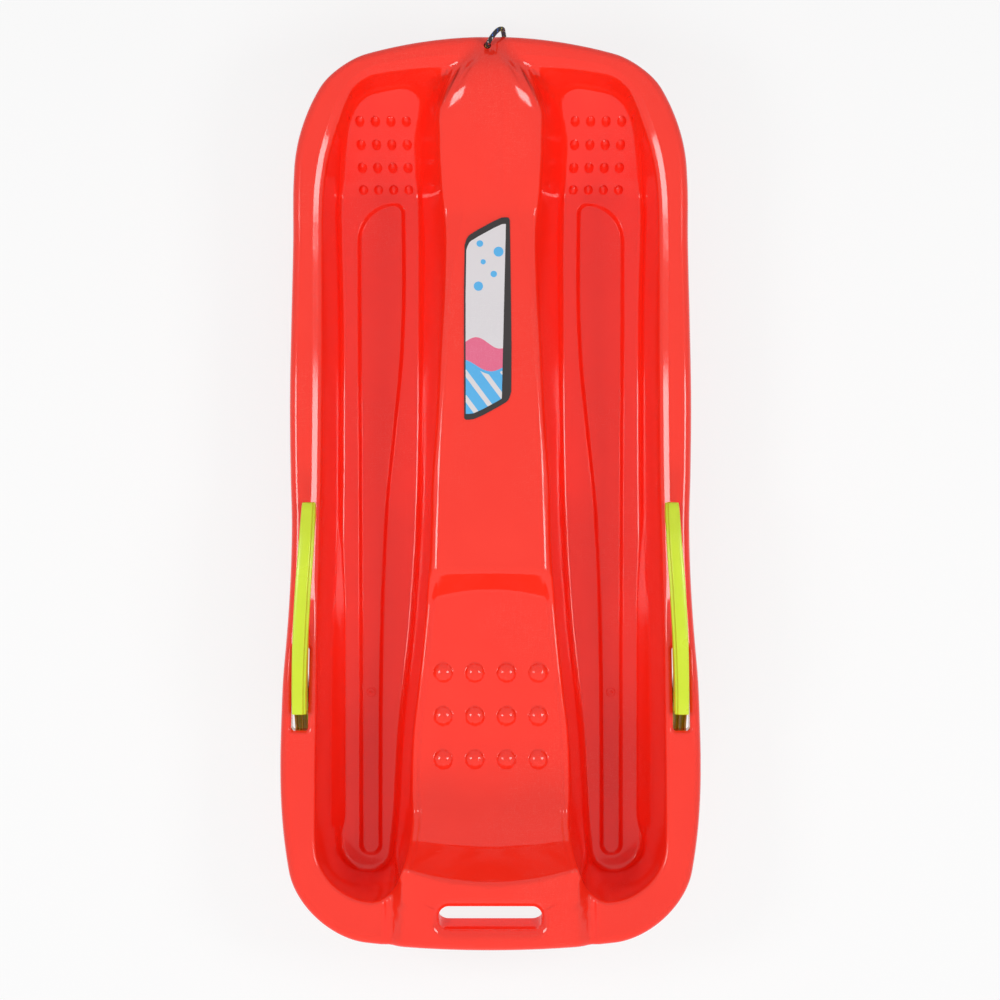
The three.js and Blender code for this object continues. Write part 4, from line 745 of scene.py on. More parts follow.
def moulded_group():
    """Fine ripple, slow clouds and faint scuffs of moulded plastic."""
    group, into, out = effect_group(
        "moulded plastic", zip(("Ripple size", "Cloud size", "Scuff size"), MOULDED_SIZES),
        ["Ripple", "Cloud", "Scuff"],
    )
    wires = Wires(group)
    place = wires.node("ShaderNodeTexCoord").outputs["Object"]
    wires.feed(out.inputs["Ripple"], wires.noise(place, into.outputs["Ripple size"], 3.0))
    wires.feed(out.inputs["Cloud"], wires.noise(place, into.outputs["Cloud size"], 3.0))
    lines = []
    for stretch in ((18.0, 0.7, 3.0), (1.0, 16.0, 3.0), (9.0, 7.0, 2.0)):
        line = wires.noise(wires.stretched(place, stretch), into.outputs["Scuff size"], 1.0)
        lines.append(wires.span(wires.math("ABSOLUTE", wires.math("SUBTRACT", line, 0.5)), 0.012, 0.0))
    patch = wires.span(wires.noise(place, into.outputs["Cloud size"], 1.0), 0.5, 0.66)
    scuff = wires.math("MAXIMUM", wires.math("MAXIMUM", lines[0], lines[1]), lines[2])
    wires.feed(out.inputs["Scuff"], wires.math("MULTIPLY", scuff, patch))
    return group


def braid_group():
    """Strands that cross in a braid, from U in turns and V in metres, with painted shade in the gaps between
    them.
    """
    group, into, out = effect_group(
        "braid", [("Strands", 8.0), ("Lay", 560.0), ("Tracer", 1.0), ("Tracer Every", 4.0)],
        ["Height", "Gap Shade", "Tracer"],
    )
    wires = Wires(group)
    split = wires.node("ShaderNodeSeparateXYZ")
    wires.feed(split.inputs[0], wires.node("ShaderNodeUVMap", uv_map="braid").outputs[0])
    turn = wires.math("MULTIPLY", split.outputs[0], into.outputs["Strands"])
    along = wires.math("MULTIPLY", split.outputs[1], into.outputs["Lay"])
    right, left = wires.math("ADD", turn, along), wires.math("SUBTRACT", turn, along)
    ribs = [wires.math("ABSOLUTE", wires.math("SINE", wires.math("MULTIPLY", line, math.pi)))
            for line in (right, left)]
    checker = wires.math("ADD", wires.math("FLOOR", right), wires.math("FLOOR", left))
    over = wires.math("GREATER_THAN", wires.math("FLOORED_MODULO", checker, 2.0), 0.5)
    lower = wires.math("MULTIPLY", ribs[0], over)
    upper = wires.math("MULTIPLY", ribs[1], wires.math("SUBTRACT", 1.0, over))
    beneath = wires.math("MULTIPLY", ribs[0], 0.35)
    height = wires.math("MAXIMUM", wires.math("MAXIMUM", lower, upper), beneath)
    wires.feed(out.inputs["Height"], height)
    # Painted shade: near 1 in the low gaps between strands, where the cord is darkened
    wires.feed(out.inputs["Gap Shade"], wires.span(height, 0.55, 0.1))
    strand = wires.math("FLOORED_MODULO", wires.math("FLOOR", right), into.outputs["Tracer Every"])
    near = wires.math("COMPARE", strand, into.outputs["Tracer"], 0.6)
    wires.feed(out.inputs["Tracer"], wires.math("MULTIPLY", near, over))
    return group


# Moulded plastic: how fine its ripple, clouds and scuffs are, and how they show
MOULDED_SIZES = (260.0, 9.0, 60.0)
TONE_SPAN = (0.35, 0.65)
ROUGH_SPAN = (0.3, 0.7)
ROUGH_SHARES = (0.85, 1.15)
SCUFF_STRENGTH = 0.35
SCUFF_ROUGHNESS = 0.3
RIPPLE_DEPTH = 0.0004
MOULDED = moulded_group()
BRAID = braid_group()


def finish(name):
    material = bpy.data.materials.new(name)
    material.use_nodes = True
    wires = Wires(material.node_tree)
    return material, wires, material.node_tree.nodes["Principled BSDF"]


def bumped(wires, shader, height, strength, distance):
    bump_node = wires.node("ShaderNodeBump")
    bump_node.inputs["Strength"].default_value = strength
    bump_node.inputs["Distance"].default_value = distance
    wires.feed(bump_node.inputs["Height"], height)
    wires.feed(shader.inputs["Normal"], bump_node.outputs[0])


def plastic(name, light, deep, worn, roughness, ripple, sizes=MOULDED_SIZES):
    """A moulded plastic: two near tones in slow clouds, and faint scuffs. sizes: ripple, clouds, scuffs."""
    material, wires, shader = finish(name)
    light, deep, worn = linear(*light), linear(*deep), linear(*worn)
    group = wires.node("ShaderNodeGroup", node_tree=MOULDED)
    for socket, value in zip(group.inputs, sizes):
        socket.default_value = value
    tone = wires.blend(wires.span(group.outputs["Cloud"], *TONE_SPAN), light, deep)
    scuff = wires.math("MULTIPLY", group.outputs["Scuff"], SCUFF_STRENGTH)
    wires.feed(shader.inputs["Base Color"], wires.blend(scuff, tone, worn))
    rough = wires.span(group.outputs["Cloud"], *ROUGH_SPAN, *(roughness * share for share in ROUGH_SHARES))
    wires.feed(shader.inputs["Roughness"],
               wires.math("MULTIPLY_ADD", scuff, SCUFF_ROUGHNESS, rough, clamp=True))
    bumped(wires, shader, group.outputs["Ripple"], ripple, RIPPLE_DEPTH)
    return material


# The cord's coloured tracer: where each colour starts in the repeat, and the colour
TRACER_COLOURS = [(0.0, (250, 226, 40)), (0.3, (232, 60, 44)), (0.5, (236, 236, 230)), (0.7, (52, 120, 232))]
TRACER_REPEAT = 0.03


def rope_finish():
    material, wires, shader = finish("braided cord")
    group = wires.node("ShaderNodeGroup", node_tree=BRAID)
    split = wires.node("ShaderNodeSeparateXYZ")
    wires.feed(split.inputs[0], wires.node("ShaderNodeUVMap", uv_map="braid").outputs[0])
    colours = wires.node("ShaderNodeValToRGB")
    ramp = colours.color_ramp
    ramp.interpolation = "CONSTANT"
    while len(ramp.elements) < len(TRACER_COLOURS):
        ramp.elements.new(1.0)
    for element, (place, colour) in zip(ramp.elements, TRACER_COLOURS):
        element.position = place
        element.color = linear(*colour)
    repeat = wires.math("FLOORED_MODULO", wires.math("MULTIPLY", split.outputs[1], 1 / TRACER_REPEAT), 1.0)
    wires.feed(colours.inputs[0], repeat)
    yarn = wires.noise(wires.node("ShaderNodeTexCoord").outputs["Object"], 900.0, 2.0)
    black = wires.blend(yarn, linear(22, 22, 26), linear(52, 52, 58))
    tone = wires.blend(group.outputs["Tracer"], black, colours.outputs[0])
    # Painted shade: the gaps between the strands are darkened to near black
    wires.feed(shader.inputs["Base Color"], wires.blend(group.outputs["Gap Shade"], tone, linear(8, 8, 10)))
    wires.feed(shader.inputs["Roughness"], wires.span(yarn, 0.3, 0.7, 0.55, 0.8))
    height = wires.math("MULTIPLY_ADD", yarn, 0.15, group.outputs["Height"])
    bumped(wires, shader, height, 0.9, 0.0005)
    return material


def steel_finish():
    material, wires, shader = finish("zinc plated steel")
    shader.inputs["Metallic"].default_value = 1.0
    place = wires.node("ShaderNodeTexCoord").outputs["Object"]
    grain = wires.noise(wires.stretched(place, (1.0, 30.0, 30.0)), 90.0, 3.0)
    wires.feed(shader.inputs["Base Color"], wires.blend(grain, linear(176, 178, 182), linear(214, 215, 218)))
    wires.feed(shader.inputs["Roughness"], wires.span(grain, 0.3, 0.7, 0.24, 0.4))
    bumped(wires, shader, grain, 0.25, 0.0002)
    return material


red = plastic("red moulded plastic", (254, 50, 31), (250, 45, 27), (255, 110, 92), 0.08, 0.08)
red.node_tree.nodes["Principled BSDF"].inputs["Specular IOR Level"].default_value = 0.42
lime = plastic("lime moulded plastic", (211, 231, 50), (203, 224, 42), (228, 240, 120), 0.3, 0.16,
               sizes=(420.0, 22.0, 90.0))
black_film = plastic("sticker border", (34, 27, 28), (30, 24, 25), (64, 56, 58), 0.4, 0.05)
pale_film = plastic("sticker ground", (224, 220, 223), (219, 215, 218), (240, 238, 240), 0.3, 0.05)
blue_film = plastic("sticker light blue", (92, 182, 236), (84, 174, 230), (160, 214, 246), 0.3, 0.05)
pink_film = plastic("sticker pink", (232, 112, 146), (226, 104, 138), (244, 170, 190), 0.3, 0.05)
tie_black = plastic("black tie", (28, 28, 30), (34, 34, 36), (70, 70, 72), 0.45, 0.3,
                    sizes=(700.0, 60.0, 200.0))
cord_braid = rope_finish()
steel = steel_finish()


# Hull: its upper face is a net of rays and rings in each trough
RAY_REAR = RUNNER_REAR + RUNNER_ROUNDS[0]
STEP_NET_START = SEAT_STEP_TOP + 7
STEP_NET_END = -113.0
BACK_NET_START = BACK_FOOT + 8

# Stretches along each trough, with the distance between their rays
RAY_SPANS = [
    (NOSE_ANCHOR, STEP_NET_START, 6.5), (STEP_NET_START, STEP_NET_END, 1.6),
    (STEP_NET_END, BACK_NET_START, 6.5), (BACK_NET_START, RAY_REAR, 2.8),
]
CENTRE_STEPS = np.array([0.0, 0.3, 0.8, 1.6, 2.8, 4.4, 6.6, 9.5, 14.0, 20.0])
FRONT_DEGREES = np.arange(2, 180, 2.0)
REAR_DEGREES = np.concatenate([np.arange(181, 216, 1.5), np.arange(216, 359, 2.4)])
FOOT_PLANE_RINGS = (-10, 0, 10)
FOOT_PLANE_RING_INSET = 9.6
HALVINGS = 30
REFINING_ROUNDS = 6

# Rings, each row with the steps between its first ring and the ring before
RUNNER_RINGS = (2, (RUNNER_EDGE, 4.4, 3.5, 2.5, 1.5, 0.6, 0.0))
FOOT_RINGS = (5, (5.8, 4.6, 3.5, 2.5, 1.6, 0.85, 0.2, -0.25, -0.6))
TOP_RINGS = (6, (0.7, 0.45, 0.1, -0.4, -1.0, -1.7, -2.4, -3.2, -3.9))
BEVEL_RINGS = (2, (-8.0, -8.6, -9.2, -9.8, -13.0))
RIM_RINGS = (4, ((9.5, 26), (8, 20), (6.5, 15), (5, 11), (3.6, 7.5), (2.4, 4.5), (1.4, 2.5), (0.6, 1)))


def even(start, end, step):
    return np.linspace(start, end, max(int(round(abs(end - start) / step)), 1) + 1)[:-1]


def hull_rays():
    """Anchors and directions from the middle of each trough out to the outline and the centre line."""
    stations = np.concatenate([even(*span) for span in RAY_SPANS] + [[RAY_REAR]])

    def anchor_at(y):
        return np.stack([(runner_outer_of(y)[0] + runner_inner_of(y)[0]) / 2, np.asarray(y, float)], axis=-1)

    front, rear = anchor_at(NOSE_ANCHOR), anchor_at(RAY_REAR)
    front_turns = np.unique(np.concatenate([
        np.radians(FRONT_DEGREES), np.arctan2(HALF_LENGTH - CENTRE_STEPS - front[1], -front[0]),
    ]))
    rear_turns = np.unique(np.concatenate([
        np.radians(REAR_DEGREES), 2 * math.pi + np.arctan2(CENTRE_STEPS - HALF_LENGTH - rear[1], -rear[0]),
    ]))
    anchors = np.vstack([
        anchor_at(stations[::-1]), np.tile(front, (len(front_turns), 1)),
        anchor_at(stations), np.tile(rear, (len(rear_turns), 1)),
    ])
    turns = np.concatenate([
        np.zeros(len(stations)), front_turns, np.full(len(stations), math.pi), rear_turns,
    ])
    return anchors, np.stack([np.cos(turns), np.sin(turns)], axis=-1)


def leaves(anchors, along, measure, start):
    """Where each ray first leaves the place in which the measure is positive."""
    def at(t):
        return measure(anchors[:, 0] + along[:, 0] * t, anchors[:, 1] + along[:, 1] * t)

    stride, low = 1.0, start.copy()
    going = np.ones(len(low), dtype=bool)
    while going.any():
        going = going & (at(low + stride) > 0) & (low < LENGTH)
        low = np.where(going, low + stride, low)
    high = low + stride
    for _ in range(HALVINGS):
        middle = (low + high) / 2
        inside = at(middle) > 0
        low, high = np.where(inside, middle, low), np.where(inside, high, middle)
    return (low + high) / 2


def ring_levels():
    """Each ring of the hull's net: a measure that is zero on it, and the steps from the ring before."""
    levels = []

    def add(rings, measure_of):
        steps, places = rings
        levels.extend((measure_of(place), 1 if i else steps) for i, place in enumerate(places))

    add(RUNNER_RINGS, lambda edge: lambda x, y: inside_runner(x, y) - edge)
    for past in FOOT_PLANE_RINGS:
        add((2, [past]), lambda past: lambda x, y: np.minimum(
            trough_foot(x, y) - FOOT_PLANE_RING_INSET, FOOT_PLANE_START + past - y))
    add(FOOT_RINGS, lambda foot: lambda x, y: trough_foot(x, y) - foot)
    for rings in (TOP_RINGS, BEVEL_RINGS):
        add(rings, lambda top: lambda x, y: trough_top(x, y) - top)
    add(RIM_RINGS, lambda rim: lambda x, y: np.minimum(inside_outline(x, y) / rim[0], x / rim[1]) - 1)
    levels.append((lambda x, y: np.minimum(inside_outline(x, y), x), 1))
    return levels


def hull_net():
    """Points on every ray and ring of the right half, as an array of rays, rings and two places."""
    anchors, along = hull_rays()
    reach = [np.zeros(len(anchors))]
    for measure, steps in ring_levels():
        far = leaves(anchors, along, measure, reach[-1])
        near = reach[-1]
        reach += [near + (far - near) * (i + 1) / steps for i in range(steps)]
    reach = np.array(reach).T
    return anchors[:, None, :] + along[:, None, :] * reach[:, :, None]


JOIN_PLACES = 1e4
ON_CENTRE_LINE = 1e-3
ON_OUTLINE = 1e-2


def joined(points, triangles):
    """Keeps equal points once and drops triangles without area."""
    keys = np.round(points * JOIN_PLACES).astype(np.int64)
    _, first, where = np.unique(keys, axis=0, return_index=True, return_inverse=True)
    triangles = where.reshape(-1)[triangles]
    a, b, c = triangles.T
    return points[first], triangles[(a != b) & (b != c) & (c != a)]


def flat_points(net):
    flat = net.reshape(-1, 2).copy()
    flat[np.abs(flat[:, 0]) < ON_CENTRE_LINE, 0] = 0
    return flat


def both_sides(flat, triangles):
    """Adds the mirror image on the left."""
    both = np.vstack([flat, flat * np.array([-1, 1])])
    return joined(both, np.vstack([triangles, triangles[:, ::-1] + len(flat)]))


def net_triangles(net, height):
    """The whole hull's plan: the net's cells, split where the surface bends least, on both sides."""
    rays, rings = net.shape[:2]
    flat = flat_points(net)
    j, k = np.meshgrid(np.arange(rays), np.arange(rings - 1), indexing="ij")
    ahead = (j + 1) % rays
    a, b = (j * rings + k).ravel(), (j * rings + k + 1).ravel()
    c, d = (ahead * rings + k + 1).ravel(), (ahead * rings + k).ravel()
    z = height(flat[:, 0], flat[:, 1])

    def rise(p, q):
        return np.abs(z[p] - z[q]) + np.hypot(*(flat[p] - flat[q]).T)

    first = rise(a, c) <= rise(b, d)
    triangles = np.vstack([
        np.stack([a, b, np.where(first, c, d)], axis=-1), np.stack([np.where(first, a, b), c, d], axis=-1),
    ])
    return both_sides(flat, triangles)


def under_triangles(net):
    """A coarser plan that still ends on every point of the outline."""
    rays, rings = net.shape[:2]
    kept_rings = list(range(0, rings - 1, 2)) + [rings - 1]
    x, y = net[:, -1].T
    tips = np.flatnonzero((np.abs(x) < ON_CENTRE_LINE) & (np.abs(inside_outline(x, y)) < ON_OUTLINE))
    kept_rays = sorted(set(range(0, rays, 2)) | set(tips.tolist()))
    triangles = []
    for n, j in enumerate(kept_rays):
        ahead = kept_rays[(n + 1) % len(kept_rays)]
        for k, further in zip(kept_rings[:-2], kept_rings[1:-1]):
            a, c = j * rings + k, ahead * rings + further
            triangles += [(a, j * rings + further, c), (a, c, ahead * rings + k)]
        k, last = kept_rings[-2], rings - 1
        a, d = j * rings + k, ahead * rings + k
        passed = [(j + i) % rays for i in range(((ahead - j) % rays) + 1)]
        edge = [i * rings + last for i in passed]
        triangles += [(a, p, q) for p, q in zip(edge, edge[1:])]
        triangles.append((a, edge[-1], d))
    return both_sides(flat_points(net), np.array(triangles))


def edges_of(triangles):
    return np.vstack([triangles[:, [0, 1]], triangles[:, [1, 2]], triangles[:, [2, 0]]])


def refined(points, triangles, wanted):
    """Splits long edges where the wanted edge length is short."""
    for _ in range(REFINING_ROUNDS):
        ends = np.sort(edges_of(triangles), axis=1)
        edges, where = np.unique(ends, axis=0, return_inverse=True)
        p, q = points[edges[:, 0]], points[edges[:, 1]]
        half = np.hypot(*(p - q).T) / 2
        middle = (p + q) / 2
        cut = 2 * half > wanted(middle[:, 0], middle[:, 1], half)
        if not cut.any():
            break
        number = np.full(len(edges), -1)
        number[cut] = len(points) + np.arange(cut.sum())
        points = np.vstack([points, middle[cut]])
        mids = number[where.reshape(-1)].reshape(3, -1).T
        cuts = (mids >= 0).sum(axis=1)
        out = [triangles[cuts == 0]]
        t, m = triangles[cuts == 3], mids[cuts == 3]
        out += [np.stack([t[:, i], m[:, i], m[:, i - 1]], axis=-1) for i in range(3)] + [m]
        for turn in range(3):
            order = [turn, (turn + 1) % 3, (turn + 2) % 3]
            one = (cuts == 1) & (mids[:, order[0]] >= 0)
            t, m = triangles[one][:, order], mids[one][:, order]
            out += [np.stack(corners, axis=-1) for corners in (
                (t[:, 0], m[:, 0], t[:, 2]), (m[:, 0], t[:, 1], t[:, 2]))]
            two = (cuts == 2) & (mids[:, order[0]] >= 0) & (mids[:, order[1]] >= 0)
            t, m = triangles[two][:, order], mids[two][:, order]
            out += [np.stack(corners, axis=-1) for corners in (
                (m[:, 0], t[:, 1], m[:, 1]), (t[:, 0], m[:, 0], m[:, 1]), (t[:, 0], m[:, 1], t[:, 2]))]
        triangles = np.vstack(out)
    return points, triangles


ON_EDGE = 0.03


def opened(points, triangles, outside):
    """Keeps what lies outside an opening, with new points on the opening's edge."""
    value = outside(points[:, 0], points[:, 1])
    value[np.abs(value) < ON_EDGE] = 0
    high, low = value[triangles].max(axis=1), value[triangles].min(axis=1)
    kept = [triangles[low >= 0]]
    crossed = triangles[(low < 0) & (high > 0)]
    ends = np.sort(edges_of(crossed), axis=1)
    edges = np.unique(ends[value[ends[:, 0]] * value[ends[:, 1]] < 0], axis=0)
    out_first = value[edges[:, 0]] > 0
    out_point = np.where(out_first[:, None], points[edges[:, 0]], points[edges[:, 1]])
    in_point = np.where(out_first[:, None], points[edges[:, 1]], points[edges[:, 0]])
    for _ in range(HALVINGS):
        middle = (out_point + in_point) / 2
        still_out = (outside(middle[:, 0], middle[:, 1]) > 0)[:, None]
        out_point = np.where(still_out, middle, out_point)
        in_point = np.where(still_out, in_point, middle)
    number = {tuple(edge): len(points) + i for i, edge in enumerate(edges.tolist())}
    points = np.vstack([points, out_point])
    made = []
    for corners in crossed.tolist():
        line = []
        for a, b in zip(corners, corners[1:] + corners[:1]):
            if value[a] >= 0:
                line.append(a)
            if value[a] * value[b] < 0:
                line.append(number[(min(a, b), max(a, b))])
        made += [(line[0], line[i], line[i + 1]) for i in range(1, len(line) - 1)]
    if made:
        kept.append(np.array(made))
    return points, np.vstack(kept)


def used_only(points, triangles):
    used, where = np.unique(triangles, return_inverse=True)
    return points[used], where.reshape(triangles.shape)


# Wanted edge lengths near the slots, their corners, the grip, its ends and the rope hole, then near the seat
# bumps, the foot bumps and the gate marks: the reach, the share of half an edge that adds to it, the length
NEAR_OPENINGS = [(4.5, 0.4, 3.2), (4.0, 0.0, 0.9), (10.0, 0.3, 3.4), (19.0, 0.0, 2.0), (2.2, 0.5, 1.0)]
NEAR_BUMPS = [(SEAT_BUMP_RADIUS + 1, 0.7, 1.7), (FOOT_BUMP_RADIUS + 0.8, 0.8, 1.15), (6.0, 1.0, 0.7)]
UNDER_SCALE = 1.6
NORMAL_REACH = 0.12


def near_size(far, reach, size):
    return np.where(far < reach, size, LENGTH)


def fine_near(scale, with_bumps):
    """Wanted edge lengths near the openings, and near the bumps too where those are wanted."""
    def wanted(x, y, half):
        beside, ahead = np.abs(x) - SLOT_CENTRE, y - (SLOT_FRONT + SLOT_REAR) / 2
        slot_corner = np.hypot(np.abs(np.abs(beside) - SLOT_HALF_WIDTH) - SLOT_ROUND / 2,
                               np.abs(ahead) - (SLOT_FRONT - SLOT_REAR) / 2 + SLOT_ROUND / 2)
        grip_end = np.hypot(np.abs(x) - GRIP_HALF + GRIP_ROUND, y - (GRIP_FRONT + GRIP_REAR) / 2)
        fars = [np.abs(outside_brake_slot(x, y)), slot_corner, np.abs(outside_grip(x, y)), grip_end,
                np.abs(outside_rope_hole(x, y))]
        rows = list(zip(fars, NEAR_OPENINGS))
        if with_bumps:
            places = ((x, SEAT_BUMPS), (np.abs(x), FOOT_BUMPS), (np.abs(x), [GATE_MARK]))
            rows += zip([far_from(across, y, found) for across, found in places], NEAR_BUMPS)
        return np.minimum.reduce([near_size(far, reach + half * share, size * scale)
                                  for far, (reach, share, size) in rows])

    return wanted


def outline_edges(triangles):
    """Directed edges that only one triangle has."""
    edges = edges_of(triangles)
    base = int(edges.max()) + 1
    forward, backward = edges[:, 0] * base + edges[:, 1], edges[:, 1] * base + edges[:, 0]
    return edges[~np.isin(forward, backward)]


def vertex_normals(points, triangles):
    a, b, c = (points[triangles[:, i]] for i in range(3))
    faces = np.cross(b - a, c - a)
    total = np.zeros_like(points)
    for i in range(3):
        np.add.at(total, triangles[:, i], faces)
    return unit(total)


def build_hull():
    net = hull_net()
    upper = refined(*net_triangles(net, dressed_top), fine_near(1.0, with_bumps=True))
    lower = refined(*under_triangles(net), fine_near(UNDER_SCALE, with_bumps=False))
    for edge in (outside_brake_slot, outside_grip, outside_rope_hole):
        upper, lower = opened(*upper, edge), opened(*lower, edge)
    (plan, faces), (under_plan, under_faces) = used_only(*upper), used_only(*lower)
    x, y = plan.T
    top = np.column_stack([x, y, dressed_top(x, y)])
    slope_x, slope_y = surface_slopes(dressed_top, x, y, NORMAL_REACH)
    top_normals = unit(np.column_stack([-slope_x, -slope_y, np.ones(len(x))]))
    x, y = under_plan.T
    under = np.column_stack([x, y, hull_under(x, y)])
    under_normals = -vertex_normals(under, under_faces)
    edges = outline_edges(faces)
    ends, where = np.unique(edges, return_inverse=True)
    where = where.reshape(edges.shape)
    x, y = plan[ends].T
    rim_high, rim_low = top[ends], np.column_stack([x, y, hull_under(x, y)])
    run = plan[edges[:, 1]] - plan[edges[:, 0]]
    outward = unit(np.column_stack([run[:, 1], -run[:, 0], np.zeros(len(run))]))
    wall_normals = np.zeros((len(ends), 3))
    for i in range(2):
        np.add.at(wall_normals, where[:, i], outward)
    wall_normals = unit(wall_normals)
    high = len(top)
    low = high + len(ends)
    base = low + len(ends)
    strip = np.column_stack([high + where[:, 0], low + where[:, 0], low + where[:, 1], high + where[:, 1]])
    points = np.vstack([top, rim_high, rim_low, under])
    normals = np.vstack([top_normals, wall_normals, wall_normals, under_normals])
    all_faces = faces.tolist() + strip.tolist() + (under_faces[:, ::-1] + base).tolist()
    shell = mesh_object("hull_shell", points, all_faces, [red])
    shell.data.normals_split_custom_set_from_vertices(normals.tolist())
    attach(shell, "sled")
    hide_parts("hull")


# Small solids
SHARP_EDGE = math.radians(35)
SHARP_RING = math.radians(40)
BEVELLED_EDGE = math.radians(30)
CORNER_STEPS = 8


def ring_faces(rings, count, closed=False):
    """Quads between rings of points. When closed, the last ring joins the first."""
    faces = []
    for ring in range(rings if closed else rings - 1):
        here, ahead = ring * count, (ring + 1) % rings * count
        for i in range(count):
            after = (i + 1) % count
            faces.append((here + i, ahead + i, ahead + after, here + after))
    return faces


def extruded(name, outline, start, end):
    """An outline of (y, z) points pushed out along X."""
    count = len(outline)
    if sum(a[0] * b[1] - b[0] * a[1] for a, b in zip(outline, outline[1:] + outline[:1])) < 0:
        outline = outline[::-1]
    faces = [list(range(count))[::-1], list(range(count, 2 * count))]
    faces += [[i, (i + 1) % count, count + (i + 1) % count, count + i] for i in range(count)]
    return mesh_object(name, [(x, *p) for x in (start, end) for p in outline], faces, [lime])


def settled(made):
    """Puts the modifiers into the mesh."""
    graph = bpy.context.evaluated_depsgraph_get()
    mesh = bpy.data.meshes.new_from_object(made.evaluated_get(graph))
    made.modifiers.clear()
    made.data = mesh
    mesh.set_sharp_from_angle(angle=SHARP_EDGE)


def softened(made, width):
    bevel = made.modifiers.new("soft edges", "BEVEL")
    bevel.width = width / 1000
    bevel.segments = 2
    bevel.limit_method = "ANGLE"
    bevel.angle_limit = BEVELLED_EDGE
    bevel.harden_normals = True
    settled(made)


def cut(made, tool):
    carve = made.modifiers.new("cut", "BOOLEAN")
    carve.operation = "DIFFERENCE"
    carve.solver = "EXACT"
    carve.object = tool
    settled(made)
    bpy.data.objects.remove(tool)


def turned(name, profile, centre, sides, material):
    """A solid turned about an axis along X, from (place along X, radius) points."""
    turns = [2 * math.pi * i / sides for i in range(sides)]
    points = [(centre[0] + along, centre[1] + radius * math.cos(turn), centre[2] + radius * math.sin(turn))
              for along, radius in profile for turn in turns]
    faces = [(a, d, c, b) for a, b, c, d in ring_faces(len(profile), sides)]
    last = (len(profile) - 1) * sides
    faces += [list(range(sides))[::-1], [last + i for i in range(sides)]]
    made = mesh_object(name, points, faces, [material])
    made.data.set_sharp_from_angle(angle=SHARP_EDGE)
    return made


def round_corners(half_x, half_y, radius):
    """Round the corners of a rectangle in small turns: each corner's centre and the direction out of it."""
    out = []
    for sign_x, sign_y, start in ((1, 1, 0), (-1, 1, 90), (-1, -1, 180), (1, -1, 270)):
        centre = np.array([sign_x * (half_x - radius), sign_y * (half_y - radius)])
        for step in range(CORNER_STEPS + 1):
            turn = math.radians(start + 90 * step / CORNER_STEPS)
            out.append((centre, np.array([math.cos(turn), math.sin(turn)])))
    return out


def softened_outline(points, rounds):
    """Cuts the corners of a closed outline."""
    points = [np.array(p, dtype=float) for p in points]
    for _ in range(rounds):
        pairs = zip(points, points[1:] + points[:1])
        points = [p for a, b in pairs for p in (a * 0.75 + b * 0.25, a * 0.25 + b * 0.75)]
    return points


def mirrored(made):
    for vertex in made.data.vertices:
        vertex.co.x = -vertex.co.x
    made.data.flip_normals()


# Brake levers
LEVER_REACH = 189.7
LEVER_RISE = 48.0
LEVER_TOP_SHARES = [
    [-0.0886, 0.583], [-0.037, 0.677], [0.042, 0.76], [0.2, 0.875], [0.411, 0.969], [0.569, 1],
    [0.727, 0.985], [0.859, 0.917], [0.938, 0.823], [0.986, 0.76], [1, 0.729],
]
LEVER_UNDER_SHARES = [
    [-0.0886, 0.188], [0.174, 0.19], [0.2425, 0.317], [0.274, 0.4], [0.332, 0.552], [0.411, 0.667],
    [0.543, 0.719], [0.701, 0.715], [0.807, 0.677], [0.87, 0.583], [0.907, 0.396], [0.925, 0.298],
    [0.968, 0.298], [0.983, 0.33], [1, 0.375],
]
LEVER_WIDTH_SHARES = [
    [-0.0886, 0.98], [0.06, 1], [0.25, 1.06], [0.54, 1.085], [0.83, 1.04], [0.97, 0.96], [1, 0.92],
]
LEVER_BEND_SHARES = [
    [-0.0886, 0.02], [0.0628, 0.095], [0.255, 0.238], [0.5425, 0.543], [0.829, 0.895], [1, 1],
]
LEVER_HALF_WIDTH = SLOT_HALF_WIDTH - 1.3
LEVER_BEND = 10.5
HUB_RADIUS = 9.0
WEB_HALF = SLOT_HALF_WIDTH - 1
WEB_FRONT = 28.0
WEB_REAR = -15.0
BLADE_FALL = math.radians(33)
BLADE_REACH = 125.0
BLADE_UNDER = -5.0
BLADE_ROOT_TOP = 7.0
BLADE_TIP_TOP = 2.0
BLADE_WALL = 2.0
BLADE_POCKET_START = 14.0
BLADE_TIP_CHAMFER = 4.0
BLADE_POCKET_TOP = 20.0
BLADE_RIB_SHARE = 0.09
BLADE_SOFT = 0.4
WEB_SOFT = 0.5
WEB_LOW_SHARES = (0.5, 0.6, 0.8)
HUB_EDGE = 0.5
HUB_SIDES = 40

# The grip bar: shares of its length, and at each end how much the sections shrink and how far out they lie
BAR_REAR = -0.0886
BAR_SPANS = ((BAR_REAR, -0.04, 8), (-0.04, 0.86, 74), (0.86, 1, 26))
BAR_REAR_END = ((0.55, -0.5), (0.86, -0.42), (0.96, -0.2))
BAR_FRONT_END = ((0.95, 0.3), (0.84, 0.6), (0.5, 0.8))

lever_top_of = through(LEVER_TOP_SHARES, LEVER_REACH, LEVER_RISE)
lever_under_of = through(LEVER_UNDER_SHARES, LEVER_REACH, LEVER_RISE)
lever_width_of = through(LEVER_WIDTH_SHARES, LEVER_REACH, LEVER_HALF_WIDTH)
lever_bend_of = through(LEVER_BEND_SHARES, LEVER_REACH, LEVER_BEND)


